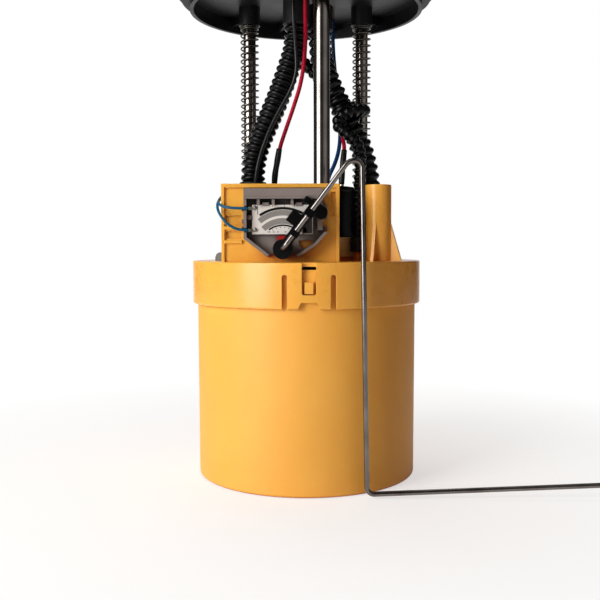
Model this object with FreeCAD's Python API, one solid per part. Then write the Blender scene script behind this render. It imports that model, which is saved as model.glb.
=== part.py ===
"""Fuel lift pump: a pump in a reservoir bucket, hung from a tank flange on sprung rods.

Millimetres, +Z up. The origin is on the bucket's axis, on the floor that it stands on.
The level sender looks towards -Y, and its float arm reaches out towards +X.
"""
import FreeCAD
import Part
import math
import os

V = FreeCAD.Vector

# Clearances
SEAT_GAP = 0.3
RUN_GAP = 0.05
SNUG_GAP = 0.02

# Reservoir bucket
BUCKET_RIM_R = 57.6
BUCKET_DRAFT = 0.3
BUCKET_HEIGHT = 110.1
BUCKET_WALL = 2.0
BUCKET_EDGE_R = 1.5
BASE_THICK = 2.5
FOOT_HEIGHT = 1.5
FOOT_WIDTH = 4.0
FOOT_NOTCH_WIDTH = 8.0
FOOT_NOTCH_ANGLES = (40.0, 90.0, 140.0)
BASE_RIBS = 6
BASE_RIB_THICK = 1.6
BASE_RIB_HEIGHT = 3.0
RIM_DIP_DEPTH = 1.2

# Reservoir cap
SKIRT_GAP = 0.4
SKIRT_WALL = 2.0
SKIRT_DROP = 20.0
PLATE_THICK = 2.0
CAP_EDGE_R = 0.8
LATCH_ANGLES = (-89.2, 30.8, 150.8)
LATCH_SLOT_SPACING = 22.9
LATCH_SLOT_WIDTH = 2.4
LATCH_SLOT_HEIGHT = 16.2
WINDOW_WIDTH = 6.7
WINDOW_SILL = 6.8
NOTCH_HEIGHT = 3.2
NOTCH_TOP_WIDTH = 7.4
NOTCH_FOOT_WIDTH = 10.4
LUG_WIDTH = 4.1
LUG_HEIGHT = 5.5
LUG_PLAY = 0.5
LUG_STEP = 1.4
OVERFLOW_AT = (0.0, 44.0)
OVERFLOW_SIZE = (34.0, 12.0)
OVERFLOW_CORNER_R = 4.0
OVERFLOW_RIM = 1.4
OVERFLOW_RIM_HEIGHT = 1.2

# Sender bracket moulded on the cap
BRACKET_LEFT = -41.2
BRACKET_WIDTH = 56.9
BRACKET_HEIGHT = 37.6
BRACKET_FRONT = -43.0
BRACKET_WALL = 2.0
BRACKET_DEPTH = 9.0
BRACKET_RAIL = 1.5
BRACKET_RAIL_OUT = 1.0

# Hollow post moulded on the cap
POST_AT = (36.0, -25.0)
POST_R = 6.6
POST_HEIGHT = 38.1
POST_CORE_R = 4.6
POST_CORE_DEPTH = 3.0
GUSSET_ANGLES = (-20.0, 70.0, 250.0)
GUSSET_THICK = 1.6
GUSSET_HEIGHT = 19.6
GUSSET_REACH = 5.6

# Guide rods, bushes and springs
FRONT_ROD_AT = (7.4, -34.5)
FRONT_ROD_R = 4.0
REAR_ROD_AT = ((-30.7, 20.0), (30.7, 20.0))
REAR_ROD_R = 3.4
ROD_END_DROP = 5.4
ROD_CLIP_THICK = 1.2
ROD_CLIP_RIM = 2.2
BUSH_WALL = 1.0
BUSH_FLANGE = 1.2
BUSH_FLANGE_THICK = 1.0
GUIDE_WALL = 1.0
FRONT_GUIDE_HEIGHT = 34.0
REAR_GUIDE_HEIGHT = 5.0
FRONT_BUSH_LENGTH = 14.0
SPRING_OUTER_R = 5.1
SPRING_WIRE = 0.9

# Pump: can, motor and impeller
PUMP_CLEARANCE = 24.8
CAN_R = 19.0
CAN_WALL = 1.5
CAN_RISE = 10.0
CAN_LIP = 1.5
CAN_LIP_THICK = 1.2
INLET_COVER_THICK = 6.0
INLET_STUB_R = 5.0
INLET_STUB_BORE_R = 3.0
INLET_STUB_CLEARANCE = 4.0
INLET_STUB_AT = (9.5, 0.0)
CHAMBER_THICK = 8.0
IMPELLER_R = 14.6
IMPELLER_THICK = 3.4
IMPELLER_BLADES = 24
IMPELLER_BLADE_DEPTH = 2.6
AXIAL_PLAY = 0.3
SHAFT_R = 2.0
BEARING_R = 3.6
BEARING_LENGTH = 4.0
CORE_R = 12.6
CHAMBER_TO_CORE = 12.0
CORE_TO_COMMUTATOR = 10.0
CORE_SLOTS = 8
SLOT_WIDTH = 3.0
SLOT_FLOOR_R = 7.6
END_TURN_HEIGHT = 6.0
COMMUTATOR_R = 7.5
COMMUTATOR_DROP = 12.0
COMMUTATOR_HEIGHT = 8.0
COMMUTATOR_BARS = 8
MAGNET_THICK = 4.0
MAGNET_ANGLE = 130.0
MAGNET_OVERHANG = 4.0
BRUSH_SIZE = 4.0
BRUSH_LENGTH = 5.0
BRUSH_HOLDER_WALL = 1.6
BRUSH_SPRING_R = 1.5
END_CAP_DEPTH = 15.0
END_CAP_SKIRT = 15.0
TURRET_R = 13.0
TURRET_HEIGHT = 7.0
OUTLET_AT = (0.0, 8.0)
OUTLET_R = 4.6
OUTLET_BORE_R = 2.4
OUTLET_HEIGHT = 13.0
VALVE_CHAMBER_R = 3.2
POPPET_R = 2.8
POPPET_LENGTH = 3.0
POPPET_TRAVEL = 2.0

# Pump holder, top cover and isolator
HOLDER_R = 28.3
HOLDER_INNER_R = 25.9
HOLDER_LIP_R = 29.1
HOLDER_LIP_THICK = 2.2
HOLDER_HEIGHT = 9.9
HOLDER_LEDGE_THICK = 2.5
HOLDER_SKIRT_R = 26.2
HOLDER_SKIRT_DROP = 10.0
HOLDER_SNAP_OUT = 1.1
HOLDER_SNAPS = 3
HOLDER_SNAP_ANGLE = 16.0
SEAT_RING_WALL = 2.0
SEAT_RING_HEIGHT = 2.1
ISOLATOR_R = 21.8
ISOLATOR_DROP = 12.0
ISOLATOR_FLANGE_R = 23.2
ISOLATOR_FLANGE_THICK = 2.0
COVER_R = 25.6
COVER_WALL = 2.0
COVER_HEIGHT = 33.5
COVER_RIM = 0.5
COVER_RIM_HEIGHT = 2.4
ELBOW_R = 4.0
ELBOW_HEIGHT = 13.0
ELBOW_NIPPLE_RISE = 16.0

# Inlet strainer, foot valve and jet pump
STRAINER_R = 22.0
STRAINER_THICK = 6.0
STRAINER_CLEARANCE = 6.0
STRAINER_NECK_WALL = 1.6
STRAINER_NECK_HEIGHT = 6.0
FOOT_DISC_R = 9.0
FOOT_DISC_THICK = 1.2
FOOT_VALVE_TRAVEL = 1.5
FOOT_CAGE_WALL = 1.2
FOOT_HOLES = 6
FOOT_HOLE_R = 1.7
FOOT_HOLE_PITCH_R = 5.2
JET_R = 4.6
JET_BORE_R = 3.0
JET_NOZZLE_HEIGHT = 12.0
JET_INLET_R = 2.5

# Rubber vent valve on the cap
VENT_AT = (-43.4, -10.0)
VENT_R = 4.2
VENT_HEIGHT = 4.4
VENT_STEM_R = 1.5
VENT_STEM_DROP = 3.0

# Hose ends on the cap and under the flange
RETURN_NIPPLE_HEIGHT = 23.6
BLEED_NIPPLE_R = 2.2
BLEED_NIPPLE_HEIGHT = 9.6
NIPPLE_BORE_R = 2.2
BLEED_BORE_R = 1.1
HOSE_R = 6.2
BLEED_HOSE_R = 3.2
CUFF_R = 6.9
BLEED_CUFF_R = 3.9
CUFF_OVER_NIPPLE = 10.0
BLEED_CUFF_OVER_NIPPLE = 5.0
FEED_CUFF_TAIL = 6.3
RETURN_CUFF_TAIL = 6.0
BLEED_CUFF_TAIL = 3.0
UPPER_CUFF_TAIL = 2.1
CUFF_TO_FLANGE = 3.0

# Level sender
SENDER_X = -11.5
SENDER_LEVEL = 118.6
SENDER_RISE = 6.2
CARRIER_REACH_LEFT = 18.6
CARRIER_REACH_RIGHT = 21.3
CARRIER_RISE = 28.8
CARRIER_STEP = 2.3
CARRIER_FOOT = ((-7.4, -3.7), (-6.6, -2.6), (-3.6, -1.6), (3.6, -1.8), (6.2, -2.8), (7.1, -3.9), (16.0, 1.8))
CARRIER_BAND = 4.2
CARRIER_PLATE = 1.5
CARRIER_DEPTH = 6.7
CARRIER_WALL = 1.4
CARD_REACH_LEFT = 14.7
CARD_WIDTH = 29.1
CARD_RISE = 7.1
CARD_HEIGHT = 14.0
CARD_THICK = 0.8
CARD_STAND = 1.6
CARD_PEG_R = 1.2
CARD_PILLARS = (3.1, 10.2, 19.2)
CARD_LIPS = (6.5, 22.4)
CARRIER_WINDOW = ((7.4, 4.2), (14.4, 4.2), (14.6, 2.7), (10.0, -0.2), (8.0, 1.6))
CARRIER_NOTCHES = ((0.0, 10.7, 14.4), (1.0, 8.2, 9.4))
PIVOT_BOSS_R = 4.6
PIVOT_BUSH_R = 3.6
PIVOT_FLANGE_R = 4.5
PIVOT_FLANGE_THICK = 1.0
HUB_R = 4.7
HUB_THICK = 4.5
ARM_ANGLE = 53.0
ARM_LENGTH = 27.0
ARM_WIDTH = 4.5
ARM_THICK = 2.6
ARM_OFFSET = 0.35
ARM_TAB = (24.1, 26.9, 6.1)
ARM_LOBE_AT = (24.6, -4.2)
ARM_LOBE_R = 3.1
CONTACT_BLOCK = (11.9, 18.2, 7.2)
CLIP_SPANS = ((7.8, 10.6), (19.1, 22.9))
CLIP_HALF = 2.3
CLIP_STRAP = 0.8
CLIP_MOUTH_GRIP = 0.25
TRACK_RADII = (13.6, 17.9)
TRACK_LEAD = 14.0
CONTACT_WIDTH = 1.2
FLOAT_WIRE_R = 1.25
FLOAT_WIRE_Y = -57.5
FLOAT_WIRE_BEND_R = 3.4
FLOAT_WIRE_CREST_R = 5.0
FLOAT_WIRE_CREST = 159.5
FLOAT_WIRE_SHOULDER_X = 25.5
FLOAT_WIRE_FOOT = (28.3, 2.2)
FLOAT_AXIS_AT = (172.0, 7.6)
FLOAT_WIDTH = 40.0
FLOAT_LENGTH = 22.0
FLOAT_THICK = 12.2
FLOAT_EDGE_R = 3.0
PUSH_NUT_R = 4.0
PUSH_NUT_THICK = 0.8

# Tank flange
FLANGE_UNDERSIDE = 250.0
FLANGE_RIM = 6.5
FLANGE_THICK = 4.0
NECK_R = 60.5
NECK_WALL = 2.0
NECK_DROP = 8.0
CROWN_INSET = 8.5
CROWN_HEIGHT = 3.0
FLANGE_TABS = 3
FLANGE_TAB_WIDTH = 14.0
FLANGE_TAB_REACH = 3.0
FLANGE_RIB_ANGLES = (45, 75, 105, 135, 225, 250, 290, 315)
FLANGE_RIB_START = 43.0
FLANGE_RIB_THICK = 1.6
FLANGE_RIB_DEPTH = 4.5
SEAL_WIDTH = 3.6
SEAL_THICK = 3.0
SEAL_SHOULDER = 0.6
ROD_SOCKET_WALL = 2.4
ROD_SOCKET_DROP = 10.0
STUB_R = 4.0
BLEED_STUB_R = 3.0
STUB_BORE_R = 2.6
BLEED_STUB_BORE_R = 1.4
STUB_HEIGHT = 28.0
STUB_DROP = 14.0
STUB_BEAD = 0.8
STUB_COLLAR = 1.6
SOCKET_AT = ((-3.5, -27.0), (12.0, 26.0))
SOCKET_SIZE = (19.0, 13.0)
SOCKET_WALL = 1.5
SOCKET_HEIGHT = 16.0
SOCKET_LATCH_WIDTH = 5.0
SOCKET_LATCH_DEPTH = 1.4
SOCKET_LATCH_DROP = (3.0, 8.0)
PIN_OFFSETS = (-3.0, 3.0)
PIN_BACK = -2.4
PIN_R = 0.9
PIN_HEIGHT = 10.0
PIN_DROP = 5.0

# Wires and hoses
WIRE_R = 0.85
SENDER_WIRE_R = 0.65
SLEEVE_R = 1.6
TERMINAL_R = 1.2
TERMINAL_RISE = 1.5
PLUG_X = -27.0
PLUG_RISE = 21.6
PLUG_SIZE = (16.0, 7.0, 12.0)
FEED_HOSE_ROUTE = ((-27.1, -20.0, 152.3), (-27.1, -20.0, 160.0), (-24.4, -17.9, 171.5),
                   (-19.4, -15.0, 183.5), (-14.0, -10.5, 197.0), (-9.2, -7.6, 211.0),
                   (-5.0, -6.0, 224.0), (-5.0, -6.0, 233.9))
RETURN_HOSE_ROUTE = ((33.8, 4.0, 142.0), (33.8, 4.0, 151.0), (32.4, 3.1, 162.0), (28.8, 1.5, 174.0),
                     (22.2, -0.4, 186.0), (15.6, -2.0, 198.0), (10.4, -0.6, 210.0),
                     (7.5, 6.0, 223.0), (7.5, 6.0, 233.9))
BLEED_HOSE_ROUTE = ((26.3, -19.2, 125.0), (26.3, -19.2, 132.0), (26.4, -18.6, 147.0),
                    (25.8, -16.8, 160.0), (23.2, -14.4, 169.6), (18.8, -12.6, 174.6),
                    (15.8, -12.2, 179.8), (17.2, -12.6, 185.2), (22.2, -13.4, 188.2),
                    (27.8, -11.6, 188.0), (30.8, -5.0, 189.4), (30.0, 4.0, 193.4), (22.8, 10.4, 199.0),
                    (10.0, 11.4, 209.0), (-3.0, 12.4, 220.0), (-7.0, 12.0, 229.0), (-7.0, 12.0, 236.0))
RED_FRONT_ROUTE = ((-13.65, -15.0, 169.95), (-11.2, -14.7, 177.4), (-6.6, -14.2, 190.4),
                   (-2.2, -14.8, 204.0), (-0.2, -19.4, 220.0), (-0.5, -29.4, 235.0), (-0.5, -29.4, 244.9))
BLACK_FRONT_ROUTE = ((-25.3, -36.8, 140.1), (-25.3, -36.8, 145.0), (-25.2, -31.6, 153.5),
                     (-23.5, -29.2, 163.3), (-20.2, -27.6, 173.2), (-15.6, -25.4, 184.0),
                     (-4.6, -23.6, 203.0), (-5.2, -24.8, 219.0), (-6.5, -29.4, 233.0),
                     (-6.5, -29.4, 244.9))
RED_REAR_ROUTE = ((20.05, -4.3, 170.2), (19.9, -3.2, 175.0), (15.0, 4.4, 184.0), (11.2, 13.2, 198.0),
                  (8.8, 19.0, 214.0), (9.0, 23.6, 230.0), (9.0, 23.6, 244.9))
BLUE_REAR_ROUTE = ((10.8, -12.0, 152.1), (11.4, -12.0, 155.6), (15.2, -7.4, 163.0), (17.8, 0.6, 172.0),
                   (18.6, 9.6, 183.0), (18.2, 18.0, 198.0), (16.4, 22.0, 214.0), (15.0, 23.6, 231.0),
                   (15.0, 23.6, 244.9))
RED_FRONT_SLEEVE = ((-16.4, -14.0, 152.1), (-16.2, -14.0, 156.5), (-15.1, -14.5, 162.0),
                    (-13.8, -15.0, 169.7))
RED_REAR_SLEEVE = ((18.4, -8.0, 152.1), (18.6, -7.8, 157.0), (19.2, -6.8, 163.6), (20.0, -4.5, 169.9))
BLUE_SENDER_ROUTES = (
    ((-27.9, -48.6, 138.0), (-31.6, -48.8, 138.0), (-36.0, -48.8, 138.2), (-40.6, -48.0, 139.0),
     (-44.0, -44.0, 141.4), (-44.2, -37.0, 145.2), (-40.0, -31.4, 149.0), (-34.4, -32.0, 150.0),
     (-31.5, -36.8, 146.6), (-31.5, -36.8, 140.1)),
    ((-27.9, -48.6, 127.6), (-32.0, -48.8, 127.7), (-36.6, -49.0, 129.2), (-40.4, -48.8, 132.4),
     (-43.4, -46.6, 137.0), (-44.9, -42.2, 141.4), (-44.4, -34.6, 145.0), (-39.0, -27.8, 147.6),
     (-32.4, -27.4, 149.6), (-28.4, -31.6, 149.6), (-28.4, -36.8, 146.4), (-28.4, -36.8, 140.1)))

# Places that follow from the sizes above
BUCKET_BASE_R = BUCKET_RIM_R - BUCKET_DRAFT
FLOOR_TOP = FOOT_HEIGHT + BASE_THICK
PLATE_UNDERSIDE = BUCKET_HEIGHT + SEAT_GAP
CAP_TOP = PLATE_UNDERSIDE + PLATE_THICK
SKIRT_R = BUCKET_RIM_R + SKIRT_GAP
CAP_R = SKIRT_R + SKIRT_WALL
SKIRT_BOTTOM = PLATE_UNDERSIDE - SKIRT_DROP
HOLDER_SEAT = CAP_TOP + SEAT_RING_HEIGHT
LEDGE_TOP = HOLDER_SEAT + HOLDER_LEDGE_THICK
COVER_TOP = LEDGE_TOP + COVER_HEIGHT
TERMINAL_TOP = COVER_TOP + TERMINAL_RISE
CAN_INNER_R = CAN_R - CAN_WALL
PUMP_BOTTOM = FLOOR_TOP + PUMP_CLEARANCE
INLET_COVER_BOTTOM = PUMP_BOTTOM + CAN_LIP_THICK
CHAMBER_BOTTOM = INLET_COVER_BOTTOM + INLET_COVER_THICK
CHAMBER_TOP = CHAMBER_BOTTOM + CHAMBER_THICK
STRAINER_BOTTOM = FLOOR_TOP + STRAINER_CLEARANCE
STRAINER_TOP = STRAINER_BOTTOM + STRAINER_THICK
INLET_STUB_BOTTOM = STRAINER_TOP + INLET_STUB_CLEARANCE
CAN_TOP = LEDGE_TOP + CAN_RISE
END_CAP_BOTTOM = CAN_TOP - END_CAP_DEPTH
COMMUTATOR_BOTTOM = END_CAP_BOTTOM - COMMUTATOR_DROP
CORE_BOTTOM = CHAMBER_TOP + CHAMBER_TO_CORE
CORE_TOP = COMMUTATOR_BOTTOM - CORE_TO_COMMUTATOR
MAGNET_BOTTOM = CORE_BOTTOM - MAGNET_OVERHANG
MAGNET_TOP = CORE_TOP + MAGNET_OVERHANG
END_CAP_TOP = CAN_TOP - CAN_LIP_THICK
TURRET_TOP = END_CAP_TOP + TURRET_HEIGHT
OUTLET_TOP = TURRET_TOP + OUTLET_HEIGHT
FRONT_GUIDE_TOP = CAP_TOP + FRONT_GUIDE_HEIGHT
REAR_GUIDE_TOP = CAP_TOP + REAR_GUIDE_HEIGHT
SPRING_BOTTOM = REAR_GUIDE_TOP + BUSH_FLANGE_THICK
ROD_BOTTOM = PLATE_UNDERSIDE - ROD_END_DROP
ROD_TOP = FLANGE_UNDERSIDE
ROD_SOCKET_BOTTOM = FLANGE_UNDERSIDE - ROD_SOCKET_DROP
STUB_BOTTOM = FLANGE_UNDERSIDE - STUB_DROP
PIN_BOTTOM = FLANGE_UNDERSIDE - PIN_DROP
FLANGE_TOP = FLANGE_UNDERSIDE + FLANGE_THICK
CROWN_TOP = FLANGE_TOP + CROWN_HEIGHT
FLANGE_R = NECK_R + FLANGE_RIM
CROWN_R = NECK_R - CROWN_INSET
FEED_NIPPLE_AT = FEED_HOSE_ROUTE[0][:2]
RETURN_NIPPLE_AT = RETURN_HOSE_ROUTE[0][:2]
BLEED_NIPPLE_AT = BLEED_HOSE_ROUTE[0][:2]
FEED_STUB_AT = FEED_HOSE_ROUTE[-1][:2]
RETURN_STUB_AT = RETURN_HOSE_ROUTE[-1][:2]
BLEED_STUB_AT = BLEED_HOSE_ROUTE[-1][:2]
ELBOW_LEVEL = LEDGE_TOP + ELBOW_HEIGHT
ELBOW_NIPPLE_TOP = ELBOW_LEVEL + ELBOW_NIPPLE_RISE
RETURN_NIPPLE_TOP = CAP_TOP + RETURN_NIPPLE_HEIGHT
BLEED_NIPPLE_TOP = CAP_TOP + BLEED_NIPPLE_HEIGHT
FEED_HOSE_FOOT = ELBOW_NIPPLE_TOP + FEED_CUFF_TAIL
RETURN_HOSE_FOOT = RETURN_NIPPLE_TOP + RETURN_CUFF_TAIL
BLEED_HOSE_FOOT = BLEED_NIPPLE_TOP + BLEED_CUFF_TAIL
HOSE_HEAD = STUB_BOTTOM - UPPER_CUFF_TAIL
WIRE_HEAD = PIN_BOTTOM - 2 * RUN_GAP
PLUG_AT = (PLUG_X, CAP_TOP + PLUG_RISE)
PLUG_TOP = PLUG_AT[1] + PLUG_SIZE[2] / 2
SENDER_AT = (SENDER_X, CAP_TOP + SENDER_RISE)
CARRIER_LEFT = SENDER_X - CARRIER_REACH_LEFT
CARRIER_RIGHT = SENDER_X + CARRIER_REACH_RIGHT
CARRIER_TOP = SENDER_AT[1] + CARRIER_RISE
CARD_LEFT = SENDER_X - CARD_REACH_LEFT
CARD_RIGHT = CARD_LEFT + CARD_WIDTH
CARD_BOTTOM = SENDER_AT[1] + CARD_RISE
CARD_TOP = CARD_BOTTOM + CARD_HEIGHT
CARRIER_BACK = BRACKET_FRONT
CARRIER_FRONT = CARRIER_BACK - CARRIER_DEPTH
CARD_BACK = CARRIER_BACK - CARRIER_PLATE - CARD_STAND
CARD_FRONT = CARD_BACK - CARD_THICK
HUB_BACK = CARRIER_FRONT - 2 * SEAT_GAP
HUB_FRONT = HUB_BACK - HUB_THICK


def cylinder(radius, bottom, top, at=(0.0, 0.0)):
    return Part.makeCylinder(radius, top - bottom, V(at[0], at[1], bottom))


def tube(outer, inner, bottom, top, at=(0.0, 0.0)):
    return cylinder(outer, bottom, top, at).cut(cylinder(inner, bottom - 1, top + 1, at))


def block(x0, x1, y0, y1, z0, z1):
    return Part.makeBox(x1 - x0, y1 - y0, z1 - z0, V(x0, y0, z0))


def turned(outline, at=(0.0, 0.0), angle=360.0):
    """A solid turned about a vertical axis from (radius, height) points."""
    points = [V(r, 0, z) for r, z in outline]
    face = Part.Face(Part.makePolygon(points + points[:1]))
    solid = face.revolve(V(0, 0, 0), V(0, 0, 1), angle)
    solid.translate(V(at[0], at[1], 0))
    return solid


def plate_xz(outline, front, back):
    """A flat plate with an (x, z) outline that lies between two Y planes."""
    points = [V(x, front, z) for x, z in outline]
    face = Part.Face(Part.makePolygon(points + points[:1]))
    return face.extrude(V(0, back - front, 0))


def cylinder_y(radius, front, back, at):
    return Part.makeCylinder(radius, back - front, V(at[0], front, at[1]), V(0, 1, 0))


def turn(shape, angle, at=(0.0, 0.0)):
    copy = shape.copy()
    copy.rotate(V(at[0], at[1], 0), V(0, 0, 1), angle)
    return copy


def fused(shapes):
    whole = shapes[0]
    for shape in shapes[1:]:
        whole = whole.fuse(shape)
    return whole.removeSplitter()


def group(shapes):
    return Part.Compound(shapes)


def polar(radius, angle):
    return radius * math.cos(math.radians(angle)), radius * math.sin(math.radians(angle))


def hung(route, foot, head):
    """The route with its two ends at the given levels, and its other points moved in proportion."""
    last = len(route) - 1
    return [(x, y, z + (foot - route[0][2]) * (1 - i / last) + (head - route[-1][2]) * i / last)
            for i, (x, y, z) in enumerate(route)]


def path_through(points, bends=None):
    """Straight runs joined by tangent arcs. Each arc is as large as its two runs allow, or has a given radius."""
    spots = [V(*p) for p in points]
    start = spots[0]
    edges = []
    radii = []
    for k, (before, corner, after) in enumerate(zip(spots, spots[1:], spots[2:])):
        inward = (before - corner).normalize()
        outward = (after - corner).normalize()
        half_turn = (math.pi - inward.getAngle(outward)) / 2
        shorter = min((before - corner).Length, (after - corner).Length)
        bend = bends[k] if bends else 0.45 * shorter / math.tan(half_turn)
        reach = bend * math.tan(half_turn)
        arc_start = corner + inward * reach
        arc_end = corner + outward * reach
        middle = (inward + outward).normalize()
        arc_mid = corner + middle * (bend / math.cos(half_turn) - bend)
        if (arc_start - start).Length > 0.001:
            edges.append(Part.LineSegment(start, arc_start).toShape())
        edges.append(Part.Arc(arc_start, arc_mid, arc_end).toShape())
        radii.append(bend)
        start = arc_end
    edges.append(Part.LineSegment(start, spots[-1]).toShape())
    return Part.Wire(edges), radii


def swept(points, radius, bends=None):
    """A round bar along the path through the points."""
    path, radii = path_through(points, bends)
    first = V(*points[1]) - V(*points[0])
    ring = Part.Wire(Part.makeCircle(radius, V(*points[0]), first))
    return path.makePipeShell([ring], True, True), path.Length, radii


def cord(name, points, radius):
    solid, length, radii = swept(points, radius)
    expected = math.pi * radius ** 2 * length
    print(f"{name}: length {length:.1f}, radii {min(radii):.1f} to {max(radii):.1f},"
          f" volume ratio {solid.Volume / expected:.4f}")
    return solid


def latch_frame(shape, angle):
    """Turn a shape modelled at the front, about X = 0, to a latch's own angle."""
    return turn(shape, angle + 90.0)


def latch_cutters():
    """The two slots, the window and the flared notch that free one latch tongue in the skirt."""
    outside = -(CAP_R + 3)
    inside = -(SKIRT_R - SKIRT_GAP)
    low = SKIRT_BOTTOM - 1
    slot_top = SKIRT_BOTTOM + LATCH_SLOT_HEIGHT
    half = LATCH_SLOT_WIDTH / 2
    cutters = []
    for x in (-LATCH_SLOT_SPACING / 2, LATCH_SLOT_SPACING / 2):
        cutters.append(block(x - half, x + half, outside, inside + 3, low, slot_top - half))
        cutters.append(cylinder_y(half, outside, inside + 3, (x, slot_top - half)))
    sill = SKIRT_BOTTOM + WINDOW_SILL
    window = block(-WINDOW_WIDTH / 2, WINDOW_WIDTH / 2, outside, inside, sill, CAP_TOP + 1)
    corners = [e for e in window.Edges
               if abs(e.CenterOfMass.z - sill) < 0.01 and abs(abs(e.CenterOfMass.x) - WINDOW_WIDTH / 2) < 0.01]
    cutters.append(window.makeFillet(1.0, corners))
    flare = NOTCH_FOOT_WIDTH / 2 + (NOTCH_FOOT_WIDTH - NOTCH_TOP_WIDTH) / (2 * NOTCH_HEIGHT)
    notch_top = SKIRT_BOTTOM + NOTCH_HEIGHT
    cutters.append(plate_xz([(-flare, low), (flare, low), (NOTCH_TOP_WIDTH / 2, notch_top),
                             (-NOTCH_TOP_WIDTH / 2, notch_top)], outside, inside + 3))
    return fused(cutters)


def reservoir_bucket():
    inner_rim = BUCKET_RIM_R - BUCKET_WALL
    inner_base = BUCKET_BASE_R - BUCKET_WALL
    foot_inner = BUCKET_BASE_R - FOOT_WIDTH
    shell = turned([(foot_inner, 0), (BUCKET_BASE_R, 0), (BUCKET_RIM_R, BUCKET_HEIGHT),
                    (inner_rim, BUCKET_HEIGHT), (inner_base, FLOOR_TOP), (0, FLOOR_TOP),
                    (0, FOOT_HEIGHT), (foot_inner, FOOT_HEIGHT)])
    rim = [e for e in shell.Edges if abs(e.CenterOfMass.z) < 0.01 and abs(e.BoundBox.XMax - BUCKET_BASE_R) < 0.01]
    shell = shell.makeFillet(BUCKET_EDGE_R, rim)
    lug_bottom = SKIRT_BOTTOM + WINDOW_SILL + LUG_PLAY
    lug = plate_xz([(-LUG_WIDTH / 2, lug_bottom), (LUG_WIDTH / 2, lug_bottom),
                    (LUG_WIDTH / 2, lug_bottom + LUG_HEIGHT), (-LUG_WIDTH / 2, lug_bottom + LUG_HEIGHT)],
                   -(SKIRT_R + LUG_STEP), -(inner_rim + 0.5))
    dip = block(-WINDOW_WIDTH / 2 - 1, WINDOW_WIDTH / 2 + 1, -BUCKET_RIM_R - 1, -inner_rim + 2,
                BUCKET_HEIGHT - RIM_DIP_DEPTH, BUCKET_HEIGHT + 1)
    for angle in LATCH_ANGLES:
        shell = shell.fuse(latch_frame(lug, angle)).cut(latch_frame(dip, angle))
    rib = block(FOOT_DISC_R + FOOT_CAGE_WALL + 3, inner_base - 2, -BASE_RIB_THICK / 2, BASE_RIB_THICK / 2,
                FLOOR_TOP - 0.5, FLOOR_TOP + BASE_RIB_HEIGHT)
    for k in range(BASE_RIBS):
        shell = shell.fuse(turn(rib, 30 + 360.0 / BASE_RIBS * k))
    for k in range(FOOT_HOLES):
        at = polar(FOOT_HOLE_PITCH_R, 360.0 / FOOT_HOLES * k)
        shell = shell.cut(cylinder(FOOT_HOLE_R, 0, FLOOR_TOP + 1, at))
    shell = shell.cut(cylinder(JET_INLET_R, 0, FLOOR_TOP + 1, RETURN_NIPPLE_AT))
    notch = block(foot_inner - 1, BUCKET_BASE_R + 1, -FOOT_NOTCH_WIDTH / 2, FOOT_NOTCH_WIDTH / 2, -1, FOOT_HEIGHT)
    for angle in FOOT_NOTCH_ANGLES:
        shell = shell.cut(turn(notch, angle))
    return shell.removeSplitter()


def bracket():
    """The box that carries the sender: a front wall with short side walls, rails and pockets."""
    left = BRACKET_LEFT
    right = left + BRACKET_WIDTH
    top = CAP_TOP + BRACKET_HEIGHT
    front = BRACKET_FRONT
    foot = CAP_TOP - 0.5
    back = front + BRACKET_DEPTH
    wall = block(left, right, front, front + BRACKET_WALL, foot, top)
    sides = [block(left, left + BRACKET_WALL, front, back, foot, top),
             block(right - BRACKET_WALL, right, front, back, foot, top)]
    roof = block(left, right, front, front + BRACKET_DEPTH / 2, top - BRACKET_WALL, top)
    rail_front = front - BRACKET_RAIL_OUT
    rails = [block(left, left + BRACKET_RAIL, rail_front, front, foot, top),
             block(right - BRACKET_RAIL, right, rail_front, front, foot, top),
             block(left, right, rail_front, front, top - 1.9, top)]
    ledges = [block(left + BRACKET_RAIL, CARRIER_LEFT - 1.2, rail_front, front, z, z + 1.5)
              for z in (CAP_TOP + 9.0, CAP_TOP + 15.6)]
    pockets = [block(left + 2.2, CARRIER_LEFT - 1.6, front - 0.1, front + 1.1, CAP_TOP + low, CAP_TOP + high)
               for low, high in ((11.4, 14.8), (17.8, 22.4))]
    pockets.append(block(right - BRACKET_RAIL - 2.6, right - BRACKET_RAIL - 0.4, front - 0.1, front + 1.1,
                         CAP_TOP + 22.0, top - 4.0))
    return fused([wall, roof] + sides + rails + ledges).cut(group(pockets))


def post():
    """The hollow post with three gussets."""
    top = CAP_TOP + POST_HEIGHT
    body = cylinder(POST_R, CAP_TOP - 0.5, top, POST_AT)
    rim = [e for e in body.Edges if abs(e.CenterOfMass.z - top) < 0.01]
    body = body.makeFillet(0.5, rim)
    gusset = plate_xz([(POST_R - 1.5, CAP_TOP - 0.5), (POST_R + GUSSET_REACH, CAP_TOP - 0.5),
                       (POST_R + GUSSET_REACH, CAP_TOP), (POST_R - 0.2, CAP_TOP + GUSSET_HEIGHT),
                       (POST_R - 1.5, CAP_TOP + GUSSET_HEIGHT)], -GUSSET_THICK / 2, GUSSET_THICK / 2)
    gusset.translate(V(POST_AT[0], POST_AT[1], 0))
    gussets = [turn(gusset, angle, POST_AT) for angle in GUSSET_ANGLES]
    core = cylinder(POST_CORE_R, top - POST_CORE_DEPTH, top + 1, POST_AT)
    return fused([body] + gussets).cut(core)


def guide_bore_r(rod_r):
    return rod_r + RUN_GAP + BUSH_WALL


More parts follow.
